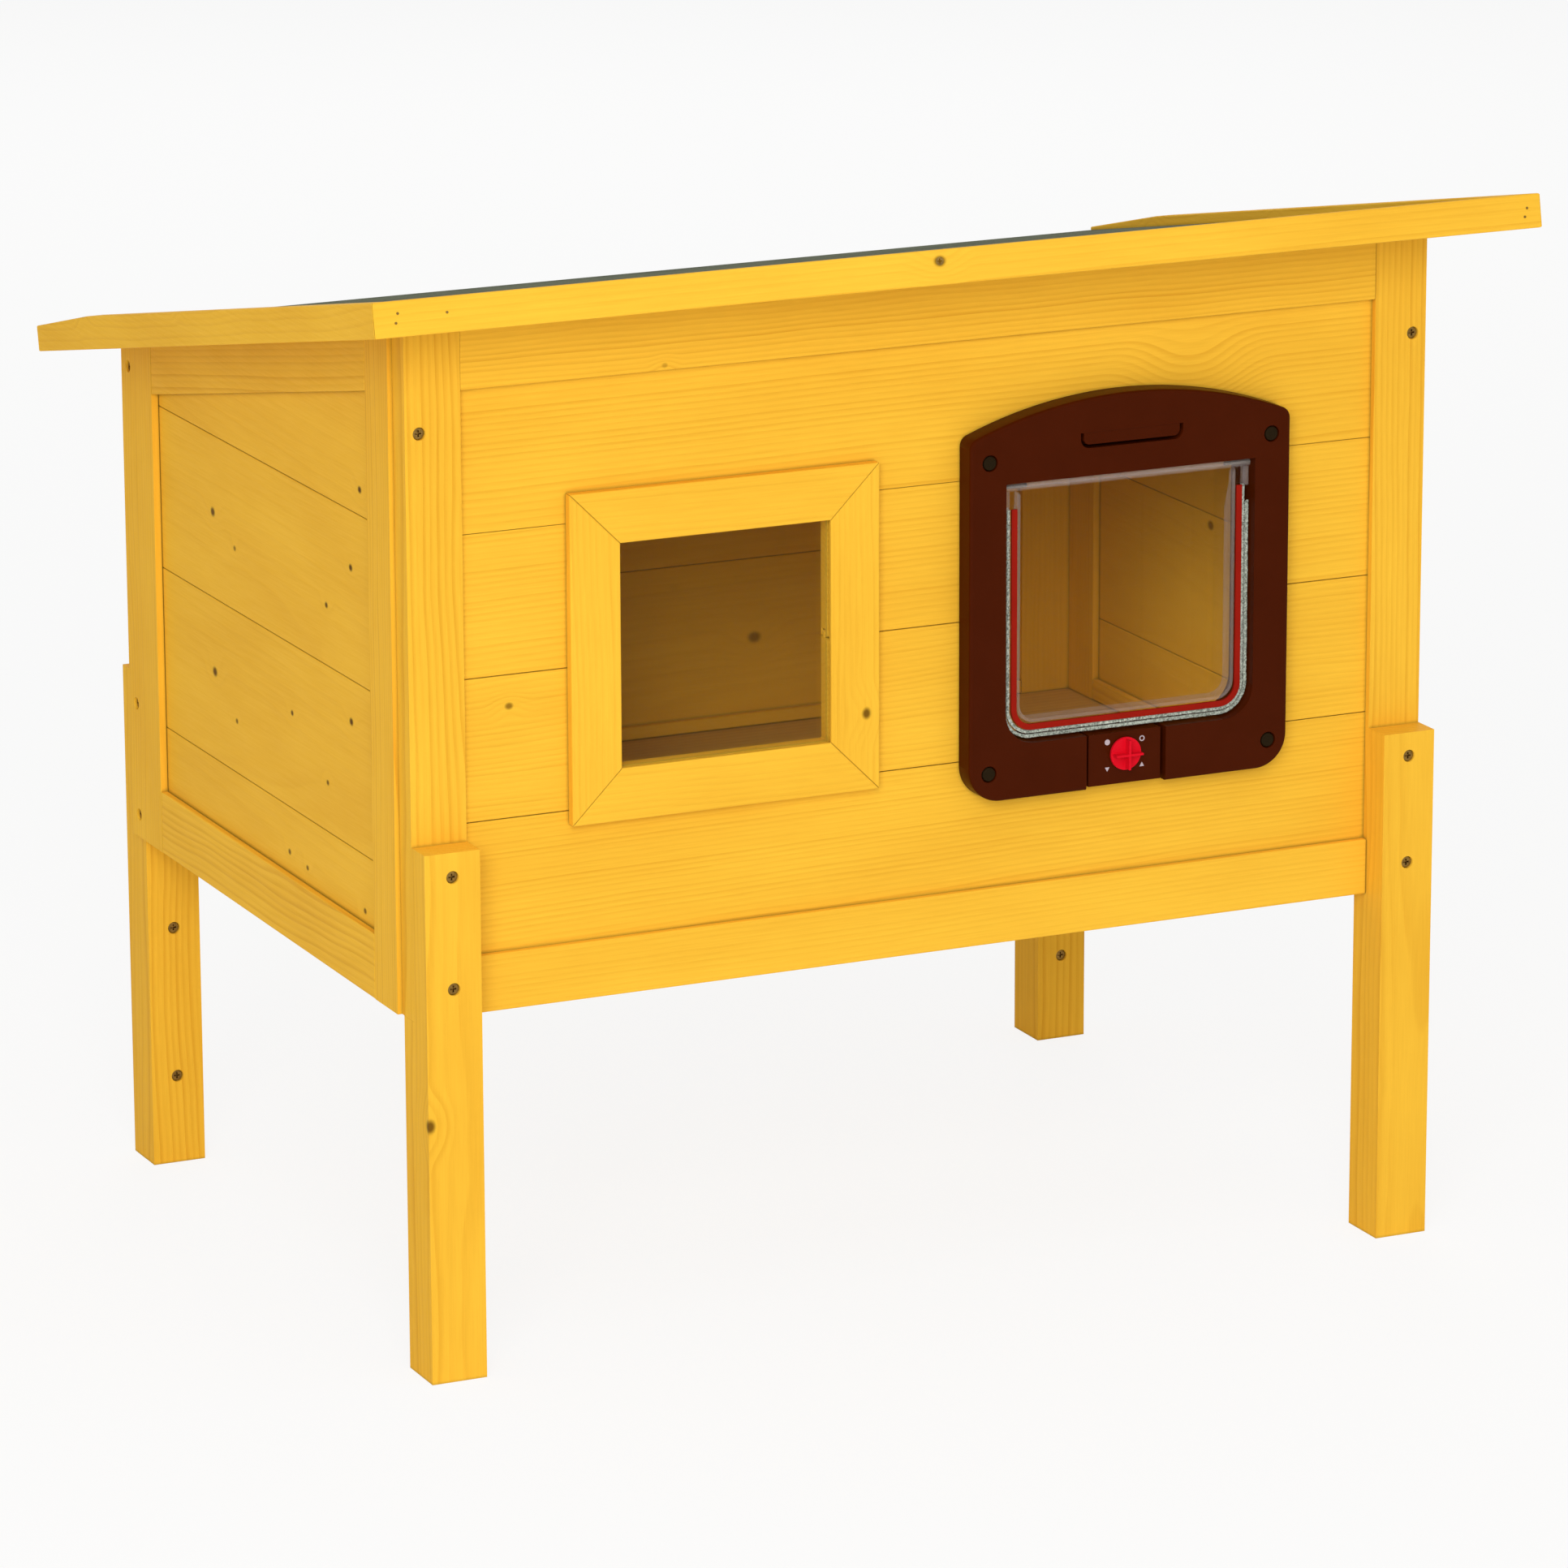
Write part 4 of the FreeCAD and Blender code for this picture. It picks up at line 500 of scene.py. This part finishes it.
# Half of the cap's section, from the middle of its face out to the rim and back underneath
profile = [cap.verts.new(point) for point in
           ((0, 0, -0.0004), (0.0030, 0, -0.00035), (0.0035, 0, -0.00015), (0.0039, 0, -0.00015),
            (0.0042, 0, -0.0005), (0.0042, 0, -0.0015), (0, 0, -0.0015))]
edges = [cap.edges.new(pair) for pair in zip(profile, profile[1:])]
bmesh.ops.spin(cap, geom=profile + edges, cent=(0, 0, 0), axis=(0, 0, 1), angle=math.tau, steps=48,
               use_merge=True)
bmesh.ops.remove_doubles(cap, verts=cap.verts, dist=0.00001)
bmesh.ops.recalc_face_normals(cap, faces=cap.faces)
cap_mesh = bpy.data.meshes.new("screw_cap")
cap.to_mesh(cap_mesh)
cap.free()
caps = bmesh.new()
flap_x, flap_foot = 0.130, 0.311
cap_across, cap_heights = 0.095, (0.0175, 0.209)
frame_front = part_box("flap_outer_frame")[0][1]
for across in (-cap_across, cap_across):
    for height in cap_heights:
        set_in(caps, cap_mesh, (flap_x + across, frame_front, flap_foot + height), (0, -1, 0))
shape("flap_cap_discs", caps, "house", "cap_plastic", cap_plastic, "flap_screw_caps")


# Swinging flap: a clear sheet under a round barrel, with walls behind it like a shallow tray's, and two lugs.
# Clear acrylic, moulded in one piece, hung on two steel pins. The walls taper off towards the barrel,
# which lets the flap swing without touching the tunnel.
dress("flap_pivot_pins", plated_steel("dull_zinc_plated_steel", "#77736A", "#55524A"))
panel_low, panel_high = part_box("flap_panel")
barrel_radius, barrel_drop = 0.0026, 0.0028
barrel_z = panel_high[2] - barrel_radius
sheet_middle = (panel_low[1] + panel_high[1]) / 2
dress("flap_panel", clear_acrylic("clear_acrylic_flap", thick_from=barrel_z - barrel_drop, thick=0.24))
edge_acrylic = clear_acrylic("clear_acrylic_flap_edge", thick=0.2)
tray = bmesh.new()
half, foot_rise, top_drop = 0.0738, 0.0450, 0.0030
foot, top = flap_foot + foot_rise, barrel_z - top_drop
tray_front, corner_cut, tray_wall = sheet_middle - 0.0018, 0.012, 0.0022
corners = [tray.verts.new((flap_x + across, tray_front, height))
           for across, height in ((-half, foot), (half, foot), (half, top), (-half, top))]
tray.faces.new(corners)
bmesh.ops.bevel(tray, geom=corners[:2], offset=corner_cut, segments=8, profile=0.5, affect="VERTICES",
                material=-1)
bmesh.ops.inset_region(tray, faces=tray.faces[:], thickness=tray_wall, use_boundary=True,
                       use_even_offset=True)
sheet = max(tray.faces, key=lambda face: face.calc_area())
upper = max(tray.faces, key=lambda face: face.calc_center_median().z)
bmesh.ops.delete(tray, geom=[sheet, upper], context="FACES")
# The walls stand 7 mm off the sheet low down, and from 29 mm to 12 mm under the barrel they taper off
sheet_depth, most, least, taper, taper_end = 0.0033, 0.007, 0.0009, 0.35, 0.009
for drop in (0.0290, 0.0120):
    bmesh.ops.bisect_plane(tray, geom=tray.verts[:] + tray.edges[:] + tray.faces[:],
                           plane_co=(0, 0, barrel_z - drop), plane_no=(0, 0, 1))
raised = bmesh.ops.extrude_face_region(tray, geom=tray.faces[:])["geom"]
for vert in (item for item in raised if isinstance(item, bmesh.types.BMVert)):
    depth = min(most, max(least, taper * (barrel_z - vert.co.z - taper_end)))
    bmesh.ops.translate(tray, vec=(0, sheet_depth + depth, 0), verts=[vert])
bmesh.ops.recalc_face_normals(tray, faces=tray.faces)
sharp_angle, wall_round = 0.9, 0.0003
sharp = [edge for edge in tray.edges if edge.calc_face_angle(0.0) > sharp_angle]
bmesh.ops.bevel(tray, geom=sharp, offset=wall_round, segments=2, profile=0.5, affect="EDGES", material=-1)
shape("flap_tray_walls", tray, "flap", "clear_plastic", edge_acrylic)
lugs = bmesh.new()
lug_size, lug_round, lug_across, lug_drop = (0.0042, 0.0036, 0.0120), 0.0006, 0.0808, 0.0085
for sign in (-1, 1):
    lug = bmesh.ops.create_cube(lugs, size=1)["verts"]
    bmesh.ops.scale(lugs, vec=lug_size, verts=lug)
    bmesh.ops.translate(lugs, vec=(flap_x + sign * lug_across, sheet_middle, barrel_z - lug_drop), verts=lug)
    bmesh.ops.bevel(lugs, geom=list({edge for vert in lug for edge in vert.link_edges}), offset=lug_round,
                    segments=2, profile=0.5, affect="EDGES", material=-1)
shape("flap_lugs", lugs, "flap", "clear_plastic", edge_acrylic)


# Draught brush: a strip of short pile round the edge of the flap, down both sides and along the foot.
# Silver grey nylon in two rows with a dark line between, slanted a little, and frayed at the cut ends.
def nylon_pile():
    """Nylon pile: silver grey, soft, with a light sheen and threads of uneven shade; the lightest threads are
    painted highlights on the silver.
    """
    material, tree, shader, place = finish("silver_nylon_pile")
    # Thread tone differs at random, and its near-white end is a painted highlight on the silver threads
    thread_tone_and_glint = node(tree, "ShaderNodeTexNoise", {"Vector": place, "Scale": 900.0, "Detail": 2.0})
    thread_tone_and_glint = node(tree, "ShaderNodeMapRange", {"Value": thread_tone_and_glint, 1: 0.3, 2: 0.7})
    tint = node(tree, "ShaderNodeMix", {0: thread_tone_and_glint, 6: linear("#626C5E"), 7: linear("#DDE5D6")}, out=2,
                data_type="RGBA")
    tree.links.new(tint, shader.inputs["Base Color"])
    shader.inputs["Roughness"].default_value = 0.55
    shader.inputs["Sheen Weight"].default_value = 0.4
    return material


brush_low, brush_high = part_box("flap_brush")
pile = bmesh.new()
shuffle = random.Random(4)
brush_y = (brush_low[1] + brush_high[1]) / 2
corner_radius = 0.0194
straight_top, corner_z = brush_high[2], brush_low[2] + corner_radius
side_run, foot_run = straight_top - corner_z, brush_high[0] - brush_low[0] - 2 * corner_radius
corner_run = math.pi / 2 * corner_radius
total = 2 * side_run + 2 * corner_run + foot_run


def brush_spot(distance):
    """A point on the brush's outer edge and the way out from the flap there."""
    if distance < side_run:
        return Vector((brush_low[0], 0, straight_top - distance)), Vector((-1, 0, 0))
    distance -= side_run
    if distance < corner_run:
        angle = math.pi + distance / corner_radius
        out = Vector((math.cos(angle), 0, math.sin(angle)))
        return Vector((brush_low[0] + corner_radius, 0, corner_z)) + out * corner_radius, out
    distance -= corner_run
    if distance < foot_run:
        return Vector((brush_low[0] + corner_radius + distance, 0, brush_low[2])), Vector((0, 0, -1))
    distance -= foot_run
    if distance < corner_run:
        angle = 1.5 * math.pi + distance / corner_radius
        out = Vector((math.cos(angle), 0, math.sin(angle)))
        return Vector((brush_high[0] - corner_radius, 0, corner_z)) + out * corner_radius, out
    distance -= corner_run
    return Vector((brush_high[0], 0, corner_z + distance)), Vector((1, 0, 0))


tuft_length, tuft_root, tuft_tip, tuft_pitch = 0.0019, 0.00032, 0.00022, 0.00046
outer_row, inner_row, second_layer, shorter = 0.0002, 0.0030, -0.0012, 0.010
scatter, slanting, uneven = 0.3, 0.35, 0.0003
loose, frayed, frayed_end = 0.08, 0.7, 0.0015
tuft = bmesh.new()
bmesh.ops.create_cone(tuft, cap_ends=True, segments=5, radius1=tuft_root, radius2=tuft_tip,
                      depth=tuft_length)
bmesh.ops.translate(tuft, vec=(0, 0, -tuft_length / 2), verts=tuft.verts)
tuft_mesh = bpy.data.meshes.new("tuft")
tuft.to_mesh(tuft_mesh)
tuft.free()
steps = int(total / tuft_pitch)
for step in range(steps):
    for inset, level, last in ((outer_row, 0.0, total - shorter), (outer_row, second_layer, total - shorter),
                               (inner_row, 0.0, total), (inner_row, second_layer, total)):
        distance = (step + 0.5 + scatter * shuffle.uniform(-1, 1)) * total / steps
        if distance < last:
            spot, out = brush_spot(distance)
            slant = out.cross(Vector((0, 1, 0))) * slanting
            fray = frayed if min(distance, last - distance) < frayed_end else loose
            lean = out + slant + Vector([shuffle.uniform(-fray, fray) for axis in "xyz"])
            spot = spot + Vector((0, brush_y + level, 0)) - out * (inset + shuffle.uniform(0.0, uneven))
            set_in(pile, tuft_mesh, spot, lean.normalized())
shape("flap_brush_pile", pile, "flap", "brush_pile", nylon_pile(), "flap_brush")


# Seal strip: a soft red lip on the front of the flap, just inside the brush.
# Extruded PVC, glued on.
dress("flap_seal", moulded_plastic("red_extruded_pvc", "#9E1C0E", "#8A150A", 0.4))


# Lock: a housing in the foot of the outer frame, with a knob that turns between four positions.
# The housing is brown ABS with four printed white marks, the knob red ABS, and the pawls brown ABS.
for piece in ("flap_lock_housing", "flap_lock_pawl_out", "flap_lock_pawl_in"):
    dress(piece, brown_plastic, 0.0002)
dress("flap_lock_knob", moulded_plastic("red_moulded_abs", "#E01226", "#D00D20", 0.28), 0.0002)
housing_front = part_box("flap_lock_housing")[0][1]
knob_low, knob_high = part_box("flap_lock_knob")
knob_x, knob_z = (knob_low[0] + knob_high[0]) / 2, (knob_low[2] + knob_high[2]) / 2
print_ink = moulded_plastic("white_printing_ink", "#C2B3B9", "#AEA0A6", 0.5)
mark_radius, round_sides, ring_width, ink_depth = 0.0018, 24, 0.0007, 0.00006
marks = bmesh.new()
# Plain signs for the four positions: a dot, a ring, and a triangle each way
for across, rise, sides, turn in ((-0.0118, 0.0078, round_sides, 0), (0.0118, 0.0078, round_sides, 0),
                                  (0.0118, -0.0088, 3, 0), (-0.0118, -0.0088, 3, 180)):
    mark = bmesh.ops.create_circle(marks, cap_ends=True, radius=mark_radius, segments=sides)["verts"]
    stand = Matrix.Rotation(math.radians(90), 4, "X") @ Matrix.Rotation(math.radians(turn), 4, "Z")
    spot = Matrix.Translation((knob_x + across, housing_front, knob_z + rise))
    bmesh.ops.transform(marks, matrix=spot @ stand, verts=mark)
ring = [face for face in marks.faces
        if len(face.verts) == round_sides and face.calc_center_median().x > knob_x]
bmesh.ops.inset_region(marks, faces=ring, thickness=ring_width, use_boundary=True, use_even_offset=True)
bmesh.ops.delete(marks, geom=ring, context="FACES_ONLY")
printed = bmesh.ops.extrude_face_region(marks, geom=marks.faces[:])["geom"]
bmesh.ops.translate(marks, vec=(0, -ink_depth, 0),
                    verts=[item for item in printed if isinstance(item, bmesh.types.BMVert)])
bmesh.ops.recalc_face_normals(marks, faces=marks.faces)
shape("lock_position_marks", marks, "house", "clear_plastic", print_ink)


# Studio: a pale floor, soft light all round, a large lamp at the front left, weaker ones above and behind,
# two faint ones inside the house that lift what is seen through the window and the flap, and a long lens.
scene = bpy.context.scene
scene.view_settings.view_transform = "Standard"
floor_material, tree, shader, place = finish("pale_studio_floor")
shader.inputs["Base Color"].default_value = linear("#F2F2F0")
shader.inputs["Roughness"].default_value = 0.9
shader.inputs["Specular IOR Level"].default_value = 0.0
path = node(tree, "ShaderNodeLightPath").node
seen = node(tree, "ShaderNodeMath",
            {0: path.outputs["Is Camera Ray"], 1: path.outputs["Is Transmission Ray"]}, operation="MAXIMUM")
seen = node(tree, "ShaderNodeMath", {0: seen, 1: 0.85}, operation="MULTIPLY")
white = node(tree, "ShaderNodeEmission", {"Color": linear("#FFFFFF"), "Strength": 1.0})
both = node(tree, "ShaderNodeMixShader", {0: seen, 1: shader.outputs[0], 2: white})
tree.links.new(both, tree.nodes["Material Output"].inputs["Surface"])
ground = bmesh.new()
bmesh.ops.create_grid(ground, x_segments=1, y_segments=1, size=30)
ground_mesh = bpy.data.meshes.new("studio_floor")
ground.to_mesh(ground_mesh)
ground.free()
ground_mesh.materials.append(floor_material)
floor = bpy.data.objects.new("studio_floor", ground_mesh)
scene.collection.objects.link(floor)

world = bpy.data.worlds.new("studio")
scene.world = world
world.use_nodes = True
tree = world.node_tree
path = node(tree, "ShaderNodeLightPath").node
seen = node(tree, "ShaderNodeMath", {0: path.outputs["Is Camera Ray"], 1: path.outputs["Is Glossy Ray"]},
            operation="MAXIMUM")
seen = node(tree, "ShaderNodeMath", {0: seen, 1: path.outputs["Is Transmission Ray"]}, operation="MAXIMUM")
soft = node(tree, "ShaderNodeBackground", {"Color": linear("#FFFFFF"), "Strength": 0.50})
white = node(tree, "ShaderNodeBackground", {"Color": linear("#FFFFFF"), "Strength": 1.0})
both = node(tree, "ShaderNodeMixShader", {0: seen, 1: soft, 2: white})
tree.links.new(both, tree.nodes["World Output"].inputs["Surface"])

for name, spot, aim, size, power, spread in (
        ("key_light", (-1.93, -3.62, 1.95), (0, 0, 0.35), 2.2, 107.0, 180),
        ("top_light", (-0.3, -1.6, 4.2), (0, 0, 0.35), 2.4, 20.0, 180),
        ("back_light", (1.6, 3.8, 2.2), (0, 0, 0.35), 2.4, 26.0, 180),
        ("flap_light", (0.16, -0.02, 0.45), (0.326, 0.06, 0.22), 0.15, 0.035, 70),
        ("window_light", (-0.10, -0.15, 0.47), (0.14, 0.235, 0.20), 0.06, 0.010, 32)):
    lamp = bpy.data.lights.new(name, "AREA")
    lamp.size = size
    lamp.energy = power
    lamp.spread = math.radians(spread)
    light = bpy.data.objects.new(name, lamp)
    light.location = spot
    light.rotation_euler = (Vector(aim) - Vector(spot)).to_track_quat("-Z", "Y").to_euler()
    light.visible_camera = light.visible_glossy = light.visible_transmission = False
    scene.collection.objects.link(light)

camera_spot, elevation, azimuth, roll = (-1.98062, -4.28011, 1.54254), 15.095, -24.906, -0.19
lens = bpy.data.cameras.new("camera")
lens.sensor_width = 36
lens.lens = 178.8
lens.clip_end = 60
camera = bpy.data.objects.new("camera", lens)
aim = Euler((math.radians(90 - elevation), 0, math.radians(azimuth))).to_matrix().to_4x4()
camera.matrix_world = Matrix.Translation(camera_spot) @ aim @ Matrix.Rotation(math.radians(roll), 4, "Z")
scene.collection.objects.link(camera)
scene.camera = camera
